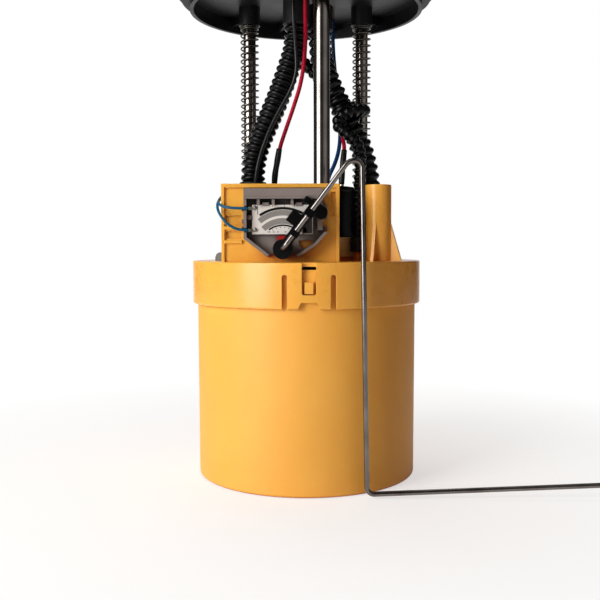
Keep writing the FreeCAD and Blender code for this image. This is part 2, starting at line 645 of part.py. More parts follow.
def reservoir_cap():
    plate = cylinder(CAP_R, PLATE_UNDERSIDE, CAP_TOP)
    edge = [e for e in plate.Edges if abs(e.CenterOfMass.z - CAP_TOP) < 0.01]
    plate = plate.makeFillet(CAP_EDGE_R, edge)
    skirt = tube(CAP_R, SKIRT_R, SKIRT_BOTTOM, PLATE_UNDERSIDE)
    lower = [e for e in skirt.Edges
             if abs(e.CenterOfMass.z - SKIRT_BOTTOM) < 0.01 and abs(e.BoundBox.XMax - CAP_R) < 0.01]
    skirt = skirt.makeFillet(CAP_EDGE_R, lower)
    cap = plate.fuse(skirt)
    for angle in LATCH_ANGLES:
        cap = cap.cut(latch_frame(latch_cutters(), angle))
    front_guide_r = guide_bore_r(FRONT_ROD_R) + GUIDE_WALL
    x, y = FRONT_ROD_AT
    additions = [bracket(), post(),
                 cylinder(HOLDER_SKIRT_R + SEAT_GAP + SEAT_RING_WALL, CAP_TOP - 0.5, HOLDER_SEAT),
                 cylinder(front_guide_r, CAP_TOP - 0.5, FRONT_GUIDE_TOP, FRONT_ROD_AT),
                 block(x - 1.5, x + 1.5, BRACKET_FRONT + 1, y, CAP_TOP - 0.5, FRONT_GUIDE_TOP),
                 cylinder(ELBOW_R, CAP_TOP - 0.5, RETURN_NIPPLE_TOP, RETURN_NIPPLE_AT),
                 cylinder(BLEED_NIPPLE_R, CAP_TOP - 0.5, BLEED_NIPPLE_TOP, BLEED_NIPPLE_AT)]
    for at in REAR_ROD_AT:
        additions.append(cylinder(guide_bore_r(REAR_ROD_R) + GUIDE_WALL, CAP_TOP - 0.5, REAR_GUIDE_TOP, at))
    for shape in additions:
        cap = cap.fuse(shape)
    low = PLATE_UNDERSIDE - 1
    cutters = [cylinder(HOLDER_SKIRT_R + SEAT_GAP, low, HOLDER_SEAT + 1),
               cylinder(guide_bore_r(FRONT_ROD_R), low, FRONT_GUIDE_TOP + 1, FRONT_ROD_AT),
               cylinder(NIPPLE_BORE_R, low, RETURN_NIPPLE_TOP + 1, RETURN_NIPPLE_AT),
               cylinder(BLEED_BORE_R, low, BLEED_NIPPLE_TOP + 1, BLEED_NIPPLE_AT),
               cylinder(VENT_STEM_R + SNUG_GAP, low, CAP_TOP + 1, VENT_AT)]
    cutters += [cylinder(guide_bore_r(REAR_ROD_R), low, REAR_GUIDE_TOP + 1, at) for at in REAR_ROD_AT]
    cap = cap.fuse(overflow_window(OVERFLOW_RIM, CAP_TOP - 0.5, CAP_TOP + OVERFLOW_RIM_HEIGHT))
    cutters.append(overflow_window(0, low, CAP_TOP + OVERFLOW_RIM_HEIGHT + 1))
    for cutter in cutters:
        cap = cap.cut(cutter)
    return cap


def overflow_window(grow, low, high):
    """The rounded opening behind the pump where a full bucket spills over, or with growth its rim."""
    x, y = OVERFLOW_AT
    half_x, half_y = OVERFLOW_SIZE[0] / 2 + grow, OVERFLOW_SIZE[1] / 2 + grow
    window = block(x - half_x, x + half_x, y - half_y, y + half_y, low, high)
    return window.makeFillet(OVERFLOW_CORNER_R + grow, [e for e in window.Edges if e.BoundBox.ZLength > 1])


def vent_valve():
    """A rubber mushroom: a domed head above the plate, a stem and a retaining bulb below it."""
    stem_end = PLATE_UNDERSIDE - VENT_STEM_DROP
    head = turned([(0, CAP_TOP), (VENT_R, CAP_TOP), (VENT_R, CAP_TOP + VENT_HEIGHT * 0.4),
                   (VENT_R * 0.85, CAP_TOP + VENT_HEIGHT * 0.8), (VENT_R * 0.5, CAP_TOP + VENT_HEIGHT),
                   (0, CAP_TOP + VENT_HEIGHT)])
    stem = cylinder(VENT_STEM_R, stem_end, CAP_TOP + 0.5)
    bulb = turned([(0, stem_end), (VENT_STEM_R, stem_end), (VENT_STEM_R + 0.7, PLATE_UNDERSIDE - 0.6),
                   (VENT_STEM_R, PLATE_UNDERSIDE), (0, PLATE_UNDERSIDE)])
    valve = fused([head, stem, bulb])
    valve.translate(V(VENT_AT[0], VENT_AT[1], 0))
    return valve


def pump_holder_ring():
    """The ring that hangs in the cap, holds the cover inside and carries the isolator on its ledge."""
    top = HOLDER_SEAT + HOLDER_HEIGHT
    bottom = PLATE_UNDERSIDE - HOLDER_SKIRT_DROP + 4
    ring = turned([(ISOLATOR_R + SNUG_GAP, bottom), (HOLDER_SKIRT_R, bottom), (HOLDER_SKIRT_R, HOLDER_SEAT),
                   (HOLDER_LIP_R, HOLDER_SEAT), (HOLDER_LIP_R, HOLDER_SEAT + HOLDER_LIP_THICK),
                   (HOLDER_R, HOLDER_SEAT + HOLDER_LIP_THICK), (HOLDER_R, top), (HOLDER_INNER_R, top),
                   (HOLDER_INNER_R, LEDGE_TOP), (ISOLATOR_R + SNUG_GAP, LEDGE_TOP)])
    reach = HOLDER_SKIRT_R + HOLDER_SNAP_OUT
    snap = turned([(HOLDER_SKIRT_R - 0.5, PLATE_UNDERSIDE - 3), (HOLDER_SKIRT_R, PLATE_UNDERSIDE - 3),
                   (reach, PLATE_UNDERSIDE - 1.2), (reach, PLATE_UNDERSIDE - 0.2),
                   (HOLDER_SKIRT_R - 0.5, PLATE_UNDERSIDE - 0.2)], angle=HOLDER_SNAP_ANGLE)
    for k in range(HOLDER_SNAPS):
        ring = ring.fuse(turn(snap, 80 + 360.0 / HOLDER_SNAPS * k))
    return ring.removeSplitter()


def pump_isolator():
    """The flanged rubber sleeve between the steel can and the holder ring."""
    inner = CAN_R + SNUG_GAP
    bottom = LEDGE_TOP - ISOLATOR_DROP
    top = LEDGE_TOP + ISOLATOR_FLANGE_THICK
    return turned([(inner, bottom), (ISOLATOR_R, bottom), (ISOLATOR_R, LEDGE_TOP), (ISOLATOR_FLANGE_R, LEDGE_TOP),
                   (ISOLATOR_FLANGE_R, top), (inner, top)])


def pump_top_cover():
    """The cup over the pump's head, with the outlet elbow at its side and three terminal holes."""
    inner = COVER_R - COVER_WALL
    cup = turned([(inner, LEDGE_TOP), (COVER_R, LEDGE_TOP), (COVER_R, COVER_TOP - COVER_RIM_HEIGHT),
                  (COVER_R + COVER_RIM, COVER_TOP - COVER_RIM_HEIGHT + COVER_RIM), (COVER_R + COVER_RIM, COVER_TOP),
                  (0, COVER_TOP), (0, COVER_TOP - COVER_WALL), (inner, COVER_TOP - COVER_WALL)])
    angle = math.degrees(math.atan2(FEED_NIPPLE_AT[1], FEED_NIPPLE_AT[0]))
    reach = math.hypot(*FEED_NIPPLE_AT)
    level = ELBOW_LEVEL
    spout = Part.makeCylinder(ELBOW_R, reach - inner - 0.5, V(inner + 0.5, 0, level), V(1, 0, 0))
    knuckle = Part.makeSphere(ELBOW_R, V(reach, 0, level))
    riser = cylinder(ELBOW_R, level, ELBOW_NIPPLE_TOP, (reach, 0))
    elbow = fused([spout, knuckle, riser]).cut(cylinder(NIPPLE_BORE_R, level, ELBOW_NIPPLE_TOP + 1, (reach, 0)))
    passage = Part.makeCylinder(NIPPLE_BORE_R, reach - inner + 1, V(inner - 1, 0, level), V(1, 0, 0))
    cup = cup.fuse(turn(elbow, angle)).cut(turn(passage, angle))
    for at in terminal_places():
        cup = cup.cut(cylinder(TERMINAL_R + SNUG_GAP, COVER_TOP - COVER_WALL - 1, COVER_TOP + 1, at))
    return cup.removeSplitter()


def terminal_places():
    return [route[0][:2] for route in (RED_FRONT_SLEEVE, BLUE_REAR_ROUTE, RED_REAR_SLEEVE)]


def pump_terminals():
    return group([cylinder(TERMINAL_R, COVER_TOP - COVER_WALL - 2, TERMINAL_TOP, at) for at in terminal_places()])


def pump_can():
    """The steel can, rolled over at both ends."""
    lip_r = CAN_INNER_R - CAN_LIP
    return turned([(lip_r, PUMP_BOTTOM), (CAN_R, PUMP_BOTTOM), (CAN_R, CAN_TOP), (lip_r, CAN_TOP),
                   (lip_r, END_CAP_TOP), (CAN_INNER_R, END_CAP_TOP), (CAN_INNER_R, INLET_COVER_BOTTOM),
                   (lip_r, INLET_COVER_BOTTOM)])


def pump_inlet_cover():
    """The end plate with the inlet stub and a blind pocket for the shaft's end."""
    disc_r = CAN_INNER_R - RUN_GAP
    cover = fused([cylinder(disc_r, INLET_COVER_BOTTOM, CHAMBER_BOTTOM),
                   cylinder(INLET_STUB_R, INLET_STUB_BOTTOM, CHAMBER_BOTTOM, INLET_STUB_AT)])
    cover = cover.cut(cylinder(INLET_STUB_BORE_R, 0, CHAMBER_BOTTOM + 1, INLET_STUB_AT))
    return cover.cut(cylinder(SHAFT_R + 0.2, CHAMBER_BOTTOM - 2, CHAMBER_BOTTOM + 1))


def pump_chamber():
    """The impeller's housing: a ring, its roof with the bearing seat, and the port to the motor."""
    disc_r = CAN_INNER_R - RUN_GAP
    roof = CHAMBER_BOTTOM + IMPELLER_THICK + 2 * AXIAL_PLAY
    top = CHAMBER_TOP
    body = cylinder(disc_r, CHAMBER_BOTTOM, top)
    body = body.cut(cylinder(IMPELLER_R + SEAT_GAP, CHAMBER_BOTTOM - 1, roof))
    body = body.cut(cylinder(BEARING_R + SNUG_GAP, roof - 1, top + 1))
    return body.cut(cylinder(INLET_STUB_BORE_R, roof - 1, top + 1, (-INLET_STUB_AT[0], 0)))


def impeller():
    """A flat disc with radial vane grooves around its rim on both faces."""
    bottom = CHAMBER_BOTTOM + AXIAL_PLAY
    top = bottom + IMPELLER_THICK
    disc = tube(IMPELLER_R, SHAFT_R + SNUG_GAP, bottom, top)
    start = IMPELLER_R - IMPELLER_BLADE_DEPTH
    grooves = []
    for k in range(IMPELLER_BLADES):
        groove = block(start, IMPELLER_R + 1, -0.8, 0.8, bottom - 1, top + 1)
        grooves.append(turn(groove, 360.0 / IMPELLER_BLADES * k))
    ported = disc.cut(group(grooves))
    return ported.fuse(tube(IMPELLER_R - 0.9, start - 0.5, (bottom + top) / 2 - 0.4,
                            (bottom + top) / 2 + 0.4)).removeSplitter()


def lower_bearing():
    roof = CHAMBER_BOTTOM + IMPELLER_THICK + 2 * AXIAL_PLAY
    return tube(BEARING_R, SHAFT_R + RUN_GAP, roof, roof + BEARING_LENGTH)


def upper_bearing():
    return tube(BEARING_R, SHAFT_R + RUN_GAP, END_CAP_BOTTOM, END_CAP_BOTTOM + BEARING_LENGTH)


def armature_shaft():
    return cylinder(SHAFT_R, CHAMBER_BOTTOM - 1.5, END_CAP_BOTTOM + BEARING_LENGTH + 3)


def armature_core():
    """The slotted lamination stack."""
    stack = tube(CORE_R, SHAFT_R + SNUG_GAP, CORE_BOTTOM, CORE_TOP)
    slot = block(SLOT_FLOOR_R, CORE_R + 1, -SLOT_WIDTH / 2, SLOT_WIDTH / 2, CORE_BOTTOM - 1, CORE_TOP + 1)
    return stack.cut(group([turn(slot, 360.0 / CORE_SLOTS * k) for k in range(CORE_SLOTS)]))


def armature_windings():
    """The copper in the slots with the end turns above and below."""
    bar_r = CORE_R - 1.0
    bar_end = math.sqrt(bar_r ** 2 - (SLOT_WIDTH / 2) ** 2)
    half = SLOT_WIDTH / 2 - SNUG_GAP
    inner = SHAFT_R + 2.5
    low = CORE_BOTTOM - END_TURN_HEIGHT
    high = CORE_TOP + END_TURN_HEIGHT
    rings = [turned([(inner, z0), (bar_r - 2, z0), (bar_r, z0 + 2), (bar_r, z1 - 2), (bar_r - 2, z1), (inner, z1)])
             for z0, z1 in ((low, CORE_BOTTOM), (CORE_TOP, high))]
    bar = block(SLOT_FLOOR_R + SNUG_GAP, bar_end, -half, half, CORE_BOTTOM - 1, CORE_TOP + 1)
    bars = [turn(bar, 360.0 / CORE_SLOTS * k) for k in range(CORE_SLOTS)]
    whole = rings[0]
    for shape in rings[1:] + bars:
        whole = whole.fuse(shape)
    return whole.removeSplitter()


def commutator():
    top = COMMUTATOR_BOTTOM + COMMUTATOR_HEIGHT
    drum = tube(COMMUTATOR_R, SHAFT_R + SNUG_GAP, COMMUTATOR_BOTTOM, top)
    gap = block(COMMUTATOR_R - 0.8, COMMUTATOR_R + 1, -0.3, 0.3, COMMUTATOR_BOTTOM - 1, top + 1)
    return drum.cut(group([turn(gap, 360.0 / COMMUTATOR_BARS * k) for k in range(COMMUTATOR_BARS)]))


def magnets():
    outer = CAN_INNER_R - RUN_GAP
    inner = outer - MAGNET_THICK
    arc = turned([(inner, MAGNET_BOTTOM), (outer, MAGNET_BOTTOM), (outer, MAGNET_TOP), (inner, MAGNET_TOP)],
                 angle=MAGNET_ANGLE)
    start = 90 - MAGNET_ANGLE / 2
    return group([turn(arc, start), turn(arc, start + 180)])


def brush_level():
    return COMMUTATOR_BOTTOM + (COMMUTATOR_HEIGHT - BRUSH_SIZE) / 2


def brushes():
    inner = COMMUTATOR_R + RUN_GAP
    low = brush_level()
    brush = block(inner, inner + BRUSH_LENGTH, -BRUSH_SIZE / 2, BRUSH_SIZE / 2, low, low + BRUSH_SIZE)
    return group([brush, turn(brush, 180)])


def brush_springs():
    start = COMMUTATOR_R + RUN_GAP + BRUSH_LENGTH
    end = CAN_INNER_R - RUN_GAP - BRUSH_HOLDER_WALL
    middle = brush_level() + BRUSH_SIZE / 2
    coil = Part.makeCylinder(BRUSH_SPRING_R, end - start, V(start, 0, middle), V(1, 0, 0))
    return group([coil, turn(coil, 180)])


def pump_end_cap():
    """The motor's upper end: brush tunnels, bearing pocket, turret and the outlet stub."""
    outer = CAN_INNER_R - RUN_GAP
    low = brush_level()
    plate = cylinder(outer, END_CAP_BOTTOM, END_CAP_TOP)
    wall = tube(outer, outer - BRUSH_HOLDER_WALL, END_CAP_BOTTOM - END_CAP_SKIRT, END_CAP_BOTTOM + 1)
    tunnel_out = BRUSH_SIZE / 2 + SEAT_GAP + 1.2
    holder = block(COMMUTATOR_R + 1, outer - 0.5, -tunnel_out, tunnel_out, low - 1.5, END_CAP_BOTTOM + 1)
    body = fused([plate, wall, holder, turn(holder, 180), cylinder(TURRET_R, END_CAP_TOP - 1, TURRET_TOP),
                  cylinder(OUTLET_R, TURRET_TOP - 1, OUTLET_TOP, OUTLET_AT)])
    clear = BRUSH_SIZE / 2 + RUN_GAP
    tunnel = block(COMMUTATOR_R, outer - BRUSH_HOLDER_WALL, -clear, clear, low - RUN_GAP,
                   low + BRUSH_SIZE + RUN_GAP)
    valve_floor = valve_seat()
    cutters = [tunnel, turn(tunnel, 180),
               cylinder(BEARING_R + SNUG_GAP, END_CAP_BOTTOM - 1, END_CAP_BOTTOM + BEARING_LENGTH),
               cylinder(SHAFT_R + 0.4, END_CAP_BOTTOM, END_CAP_BOTTOM + BEARING_LENGTH + 4),
               cylinder(OUTLET_BORE_R, END_CAP_BOTTOM - 1, valve_floor + 1, OUTLET_AT),
               cylinder(VALVE_CHAMBER_R, valve_floor, OUTLET_TOP + 1, OUTLET_AT)]
    for cutter in cutters:
        body = body.cut(cutter)
    return body


def valve_seat():
    return TURRET_TOP - 1


def outlet_valve_poppet():
    """A plug with a coned nose that rests on the outlet's seat, and a stem for the spring."""
    seat = valve_seat() + RUN_GAP
    return turned([(0, seat), (POPPET_R, seat), (POPPET_R, seat + POPPET_LENGTH), (1.0, seat + POPPET_LENGTH),
                   (1.0, seat + POPPET_LENGTH + 1.5), (0, seat + POPPET_LENGTH + 1.5)], OUTLET_AT)


def outlet_valve_spring():
    bottom = valve_seat() + RUN_GAP + POPPET_LENGTH
    return tube(2.2, 1.4, bottom, OUTLET_TOP - 2.0, OUTLET_AT)


def outlet_valve_stop():
    """The perforated plug that closes the valve chamber and backs the spring."""
    plug = cylinder(VALVE_CHAMBER_R - SNUG_GAP, OUTLET_TOP - 2.0, OUTLET_TOP, OUTLET_AT)
    return plug.cut(cylinder(1.2, OUTLET_TOP - 3, OUTLET_TOP + 1, OUTLET_AT))


def inlet_strainer():
    """The flat nylon strainer, with a neck pushed over the inlet stub."""
    top = STRAINER_TOP
    pad = cylinder(STRAINER_R, STRAINER_BOTTOM, top)
    pad = pad.makeFillet(2.4, [e for e in pad.Edges if e.BoundBox.ZLength < 0.01])
    neck_r = INLET_STUB_R + SNUG_GAP
    neck_top = top + STRAINER_NECK_HEIGHT + 2
    neck = cylinder(neck_r + STRAINER_NECK_WALL, top - 1, neck_top, INLET_STUB_AT)
    return fused([pad, neck]).cut(cylinder(neck_r, INLET_STUB_BOTTOM, neck_top + 1, INLET_STUB_AT))


def foot_valve_disc():
    return cylinder(FOOT_DISC_R, FLOOR_TOP, FLOOR_TOP + FOOT_DISC_THICK)


def foot_valve_cage():
    """The windowed cup that keeps the foot valve disc over its holes."""
    inner = FOOT_DISC_R + SEAT_GAP
    outer = inner + FOOT_CAGE_WALL
    roof = FLOOR_TOP + FOOT_DISC_THICK + FOOT_VALVE_TRAVEL + SEAT_GAP
    top = roof + FOOT_CAGE_WALL
    cage = turned([(inner, FLOOR_TOP), (outer, FLOOR_TOP), (outer, top), (5.0, top), (5.0, roof), (inner, roof)])
    window = block(inner - 1, outer + 1, -4.0, 4.0, FLOOR_TOP + FOOT_DISC_THICK, roof)
    for k in range(3):
        cage = cage.cut(turn(window, 120.0 * k))
    return cage


def jet_pump_tube():
    bottom = FLOOR_TOP + JET_NOZZLE_HEIGHT
    return tube(JET_R, JET_BORE_R, bottom, PLATE_UNDERSIDE, RETURN_NIPPLE_AT)


def jet_pump_nozzle():
    """The nozzle block at the tube's foot, over the hole in the bucket's floor."""
    top = FLOOR_TOP + JET_NOZZLE_HEIGHT
    body = turned([(JET_INLET_R, FLOOR_TOP), (JET_R + 1.6, FLOOR_TOP), (JET_R + 1.6, top - 2), (JET_R, top),
                   (1.0, top), (1.0, top - 3), (JET_INLET_R, top - 6)], RETURN_NIPPLE_AT)
    x, y = RETURN_NIPPLE_AT
    return body.cut(block(x - 1.2, x + 1.2, y - JET_R - 3, y, FLOOR_TOP + 1.5, FLOOR_TOP + 4.5))


def rod_bush(at, rod_r, bottom, top):
    """A plain bearing sleeve with a flange that sits on the guide's end."""
    bore = rod_r + RUN_GAP
    outer = guide_bore_r(rod_r) - SNUG_GAP
    return turned([(bore, bottom), (outer, bottom), (outer, top), (outer + BUSH_FLANGE, top),
                   (outer + BUSH_FLANGE, top + BUSH_FLANGE_THICK), (bore, top + BUSH_FLANGE_THICK)], at)


def rod_bushes():
    front = rod_bush(FRONT_ROD_AT, FRONT_ROD_R, FRONT_GUIDE_TOP - FRONT_BUSH_LENGTH, FRONT_GUIDE_TOP)
    rear = [rod_bush(at, REAR_ROD_R, PLATE_UNDERSIDE, REAR_GUIDE_TOP) for at in REAR_ROD_AT]
    return group([front] + rear)


def rod(at, radius):
    """A ground rod with chamfered ends and a groove for its clip."""
    clip_bottom = PLATE_UNDERSIDE - SEAT_GAP - ROD_CLIP_THICK
    bar = cylinder(radius, ROD_BOTTOM, ROD_TOP, at)
    ends = [e for e in bar.Edges if e.BoundBox.ZLength < 0.01]
    bar = bar.makeChamfer(0.5, ends)
    return bar.cut(tube(radius + 1, radius - 0.6, clip_bottom, clip_bottom + ROD_CLIP_THICK, at))


def front_guide_rod():
    return rod(FRONT_ROD_AT, FRONT_ROD_R)


def rear_guide_rods():
    return group([rod(at, REAR_ROD_R) for at in REAR_ROD_AT])


def rod_clip(at, radius):
    """A snap ring, open on one side, in the rod's groove under the cap."""
    bottom = PLATE_UNDERSIDE - SEAT_GAP - ROD_CLIP_THICK
    inner = radius - 0.6 + SNUG_GAP
    ring = tube(radius + ROD_CLIP_RIM, inner, bottom + SNUG_GAP, bottom + ROD_CLIP_THICK - SNUG_GAP, at)
    mouth = block(at[0] - inner * 0.7, at[0] + inner * 0.7, at[1], at[1] + radius + 5, bottom - 1,
                  bottom + ROD_CLIP_THICK + 1)
    return ring.cut(mouth)


def rod_clips():
    return group([rod_clip(FRONT_ROD_AT, FRONT_ROD_R)] + [rod_clip(at, REAR_ROD_R) for at in REAR_ROD_AT])


def coil_spring(at):
    """The sleeve that the turns of one coil spring fill."""
    return tube(SPRING_OUTER_R, SPRING_OUTER_R - SPRING_WIRE, SPRING_BOTTOM, ROD_SOCKET_BOTTOM, at)


def from_pivot(offsets):
    """Points given as (x, z) offsets from the sender's pivot."""
    return [(SENDER_AT[0] + dx, SENDER_AT[1] + dz) for dx, dz in offsets]


def carrier_outline():
    """The back plate's outline: a wide top, and two slanted lower edges with the pivot between them."""
    shoulder = CARRIER_RIGHT - CARRIER_STEP
    return ([(CARRIER_LEFT, CARRIER_TOP)] + from_pivot(((-CARRIER_REACH_LEFT, 5.0),) + CARRIER_FOOT +
                                                       ((CARRIER_REACH_RIGHT, 7.9), (CARRIER_REACH_RIGHT, 20.0)))
            + [(shoulder, SENDER_AT[1] + 24.0), (shoulder, CARRIER_TOP)])


def slanted_wall(start, end, width):
    """A rib on the carrier between two (x, z) points, as deep as the carrier."""
    run = V(end[0] - start[0], 0, end[1] - start[1])
    side = V(-run.z, 0, run.x).normalize() * width
    outline = [(start[0], start[1]), (end[0], end[1]), (end[0] + side.x, end[1] + side.z),
               (start[0] + side.x, start[1] + side.z)]
    return plate_xz(outline, CARRIER_FRONT, CARRIER_BACK)


def sender_carrier():
    """The grey moulding: back plate, top band with ribs, side walls, slanted lips, hooks and pivot boss."""
    x, z = SENDER_AT
    front, back = CARRIER_FRONT, CARRIER_BACK
    plate = plate_xz(carrier_outline(), back - CARRIER_PLATE, back)
    right = CARRIER_RIGHT - CARRIER_STEP
    band_low = CARRIER_TOP - CARRIER_BAND
    corners = from_pivot(CARRIER_FOOT)
    parts = [plate,
             block(CARRIER_LEFT, right, front, back, band_low, CARRIER_TOP),
             block(CARRIER_LEFT, right, front - 0.5, back, band_low - 0.7, band_low + 0.2),
             block(CARRIER_LEFT, CARRIER_LEFT + CARRIER_WALL, front, back, z + 5.0, CARRIER_TOP),
             block(right - 2.6, right, front + 1.6, back, z + 9.0, band_low),
             slanted_wall((CARRIER_LEFT, z + 5.0), corners[0], CARRIER_WALL),
             slanted_wall(corners[-2], corners[-1], CARRIER_WALL),
             slanted_wall(corners[-1], (CARRIER_RIGHT, z + 7.9), CARRIER_WALL),
             cylinder_y(PIVOT_BOSS_R, front + PIVOT_FLANGE_THICK + 2.4, back, SENDER_AT),
             cylinder_y(CARD_PEG_R, CARD_FRONT - 0.8, back, (CARD_LEFT - CARD_PEG_R - SNUG_GAP, z + 15.1))]
    for middle in CARD_PILLARS:
        parts.append(block(CARD_LEFT + middle - 0.7, CARD_LEFT + middle + 0.7, front + 0.8, back, CARD_TOP, band_low))
    for middle in CARD_LIPS:
        x0, x1 = CARD_LEFT + middle - 1.6, CARD_LEFT + middle + 1.6
        parts.append(block(x0, x1, CARD_FRONT - 0.5, back, CARD_TOP, CARD_TOP + 1.1))
        parts.append(block(x0, x1, CARD_FRONT - 0.5, CARD_FRONT, CARD_TOP - 0.6, CARD_TOP))
    for z0, z1 in ((CARD_BOTTOM + 0.6, CARD_BOTTOM + 2.2), (CARD_TOP - 2.2, CARD_TOP - 0.6)):
        parts.append(block(CARD_LEFT, CARD_RIGHT, CARD_BACK, back, z0, z1))
    for z0 in (z + 9.2, z + 12.6, z + 18.2):
        parts.append(block(CARRIER_LEFT - 1.1, CARRIER_LEFT + 0.5, front + 2.2, back, z0, z0 + 1.6))
    body = fused(parts)
    opening = plate_xz(from_pivot(CARRIER_WINDOW), front - 1, back + 1)
    notches = [block(right + low_x, CARRIER_RIGHT + 1, front - 1, back + 1, z + z0, z + z1)
               for low_x, z0, z1 in CARRIER_NOTCHES]
    wire_gaps = [block(CARRIER_LEFT - 2, CARRIER_LEFT + CARRIER_WALL + 1, front - 1, front + 3.4, w - 1.1, w + 1.1)
                 for w in wire_levels()]
    body = body.cut(opening).cut(group(notches)).cut(group(wire_gaps))
    body = body.cut(cylinder_y(PIVOT_BUSH_R + SNUG_GAP, front - 1, back + 1, SENDER_AT))
    return body.removeSplitter()


def sender_routes():
    """The sender wires' routes, from the card's terminals to the plug's top."""
    by = SENDER_AT[1] - SENDER_LEVEL
    return [hung(route, route[0][2] + by, PLUG_TOP + 2 * RUN_GAP) for route in BLUE_SENDER_ROUTES]


def wire_levels():
    return [route[0][2] for route in sender_routes()]


def resistor_card():
    """The thin ceramic card."""
    return block(CARD_LEFT, CARD_RIGHT, CARD_FRONT, CARD_BACK, CARD_BOTTOM, CARD_TOP)


def sender_terminals():
    """Two bent clips that grip the card's left edge and take the wires."""
    clips = []
    for level in wire_levels():
        finger = block(CARD_LEFT - 1.6, CARD_LEFT + 1.5, CARD_FRONT - 0.5, CARD_FRONT, level - 0.7, level + 0.7)
        barrel = block(CARD_LEFT - 1.6, CARD_LEFT - 0.9, CARD_FRONT - 2.0, CARD_FRONT, level - 0.7, level + 0.7)
        clips.append(fused([finger, barrel]))
    return group(clips)


def pivot_bush():
    """The red bearing in the carrier's boss, with a flange and a stop tongue above it."""
    x, z = SENDER_AT
    flange_front = CARRIER_FRONT + 2.4
    body = fused([cylinder_y(PIVOT_BUSH_R, flange_front, CARRIER_BACK - SEAT_GAP, SENDER_AT),
                  cylinder_y(PIVOT_FLANGE_R, flange_front - 0.001, flange_front + PIVOT_FLANGE_THICK, SENDER_AT),
                  block(x - 2.8, x + 2.0, flange_front - 0.001, flange_front + PIVOT_FLANGE_THICK, z + 2.0, z + 6.4)])
    return body.cut(cylinder_y(FLOAT_WIRE_R + RUN_GAP, flange_front - 1, CARRIER_BACK + 1, SENDER_AT))


def tilt(shape):
    """Turn a shape modelled along +X from the pivot to the float arm's rest angle."""
    copy = shape.copy()
    copy.rotate(V(SENDER_AT[0], 0, SENDER_AT[1]), V(0, 1, 0), -ARM_ANGLE)
    return copy


def wiper_arm():
    """The hub, the arm behind the wire, its T-shaped end, the contact block and the clips that hold the wire."""
    x, z = SENDER_AT
    grip = FLOAT_WIRE_R + SNUG_GAP
    back = HUB_BACK
    front = HUB_BACK - ARM_THICK
    low = z + ARM_OFFSET - ARM_WIDTH / 2
    high = z + ARM_OFFSET + ARM_WIDTH / 2
    lobe_x, lobe_z = x + ARM_LOBE_AT[0], z + ARM_LOBE_AT[1]
    parts = [block(x, x + ARM_LENGTH, front, back, low, high),
             block(x + CONTACT_BLOCK[0], x + CONTACT_BLOCK[1], front, back, high - 0.5, z + CONTACT_BLOCK[2]),
             block(x + ARM_TAB[0], x + ARM_TAB[1], front, back, high - 0.5, z + ARM_TAB[2]),
             cylinder_y(ARM_LOBE_R, front, back, (lobe_x, lobe_z)),
             block(lobe_x - ARM_LOBE_R, lobe_x + ARM_LOBE_R, front, back, lobe_z, low + 0.5)]
    for start, end in CLIP_SPANS:
        parts.append(block(x + start, x + end, FLOAT_WIRE_Y - FLOAT_WIRE_R - CLIP_STRAP, back,
                           z - CLIP_HALF, z + CLIP_HALF))
    arm = tilt(fused(parts))
    arm = arm.fuse(cylinder_y(HUB_R, HUB_FRONT, HUB_BACK, SENDER_AT))
    points, bends = float_wire_path()
    groove = swept(points[:3], grip, bends)[0]
    half_mouth = grip - CLIP_MOUTH_GRIP
    mouth = tilt(block(x + CLIP_SPANS[0][0], x + ARM_LENGTH, FLOAT_WIRE_Y - half_mouth, FLOAT_WIRE_Y + half_mouth,
                       z - CLIP_HALF - 1, z))
    return arm.cut(groove).cut(mouth).removeSplitter()


def wiper_contacts():
    """Two sprung contact blades under the contact block, each just clear of its own track."""
    x, z = SENDER_AT
    tip = CARD_FRONT - 2 * RUN_GAP
    half = CONTACT_WIDTH / 2
    blades = []
    for radius in TRACK_RADII:
        along, across = polar(radius, TRACK_LEAD)
        foot = block(x + along - half, x + along + half, HUB_BACK, HUB_BACK + 0.4, z + across - 2.4, z + across + half)
        leaf = block(x + along - half, x + along + half, HUB_BACK, tip, z + across - half, z + across + half)
        blades.append(tilt(fused([foot, leaf])))
    return group(blades)


def float_wire_path():
    """The wire's corners, from the pivot over the crest and down to the float's stem, with their radii."""
    x, z = SENDER_AT
    y = FLOAT_WIRE_Y
    crest_x = x + (FLOAT_WIRE_CREST - z) / math.tan(math.radians(ARM_ANGLE))
    points = [(x, CARRIER_BACK - 1.5, z), (x, y, z), (crest_x, y, FLOAT_WIRE_CREST),
              (FLOAT_WIRE_SHOULDER_X, y, FLOAT_WIRE_CREST), (FLOAT_WIRE_FOOT[0], y, FLOAT_WIRE_FOOT[1]),
              (FLOAT_AXIS_AT[0], y, FLOAT_AXIS_AT[1]),
              (FLOAT_AXIS_AT[0], float_front() + FLOAT_LENGTH + PUSH_NUT_THICK + 2.0, FLOAT_AXIS_AT[1])]
    return points, [FLOAT_WIRE_BEND_R, FLOAT_WIRE_CREST_R] + [FLOAT_WIRE_BEND_R] * 3


def float_front():
    return FLOAT_WIRE_Y + FLOAT_WIRE_BEND_R + SEAT_GAP


def float_wire():
    points, bends = float_wire_path()
    solid, length, radii = swept(points, FLOAT_WIRE_R, bends)
    print(f"float wire: length {length:.1f}")
    return solid


def float_body():
    """The foam float, turning on the end of its wire."""
    x, z = FLOAT_AXIS_AT
    front = float_front()
    body = block(x - FLOAT_WIDTH / 2, x + FLOAT_WIDTH / 2, front, front + FLOAT_LENGTH,
                 z - FLOAT_THICK / 2, z + FLOAT_THICK / 2)
    body = body.makeFillet(FLOAT_EDGE_R, [e for e in body.Edges if e.BoundBox.YLength > FLOAT_LENGTH - 0.1])
    return body.cut(cylinder_y(FLOAT_WIRE_R + RUN_GAP, front - 1, front + FLOAT_LENGTH + 1, FLOAT_AXIS_AT))


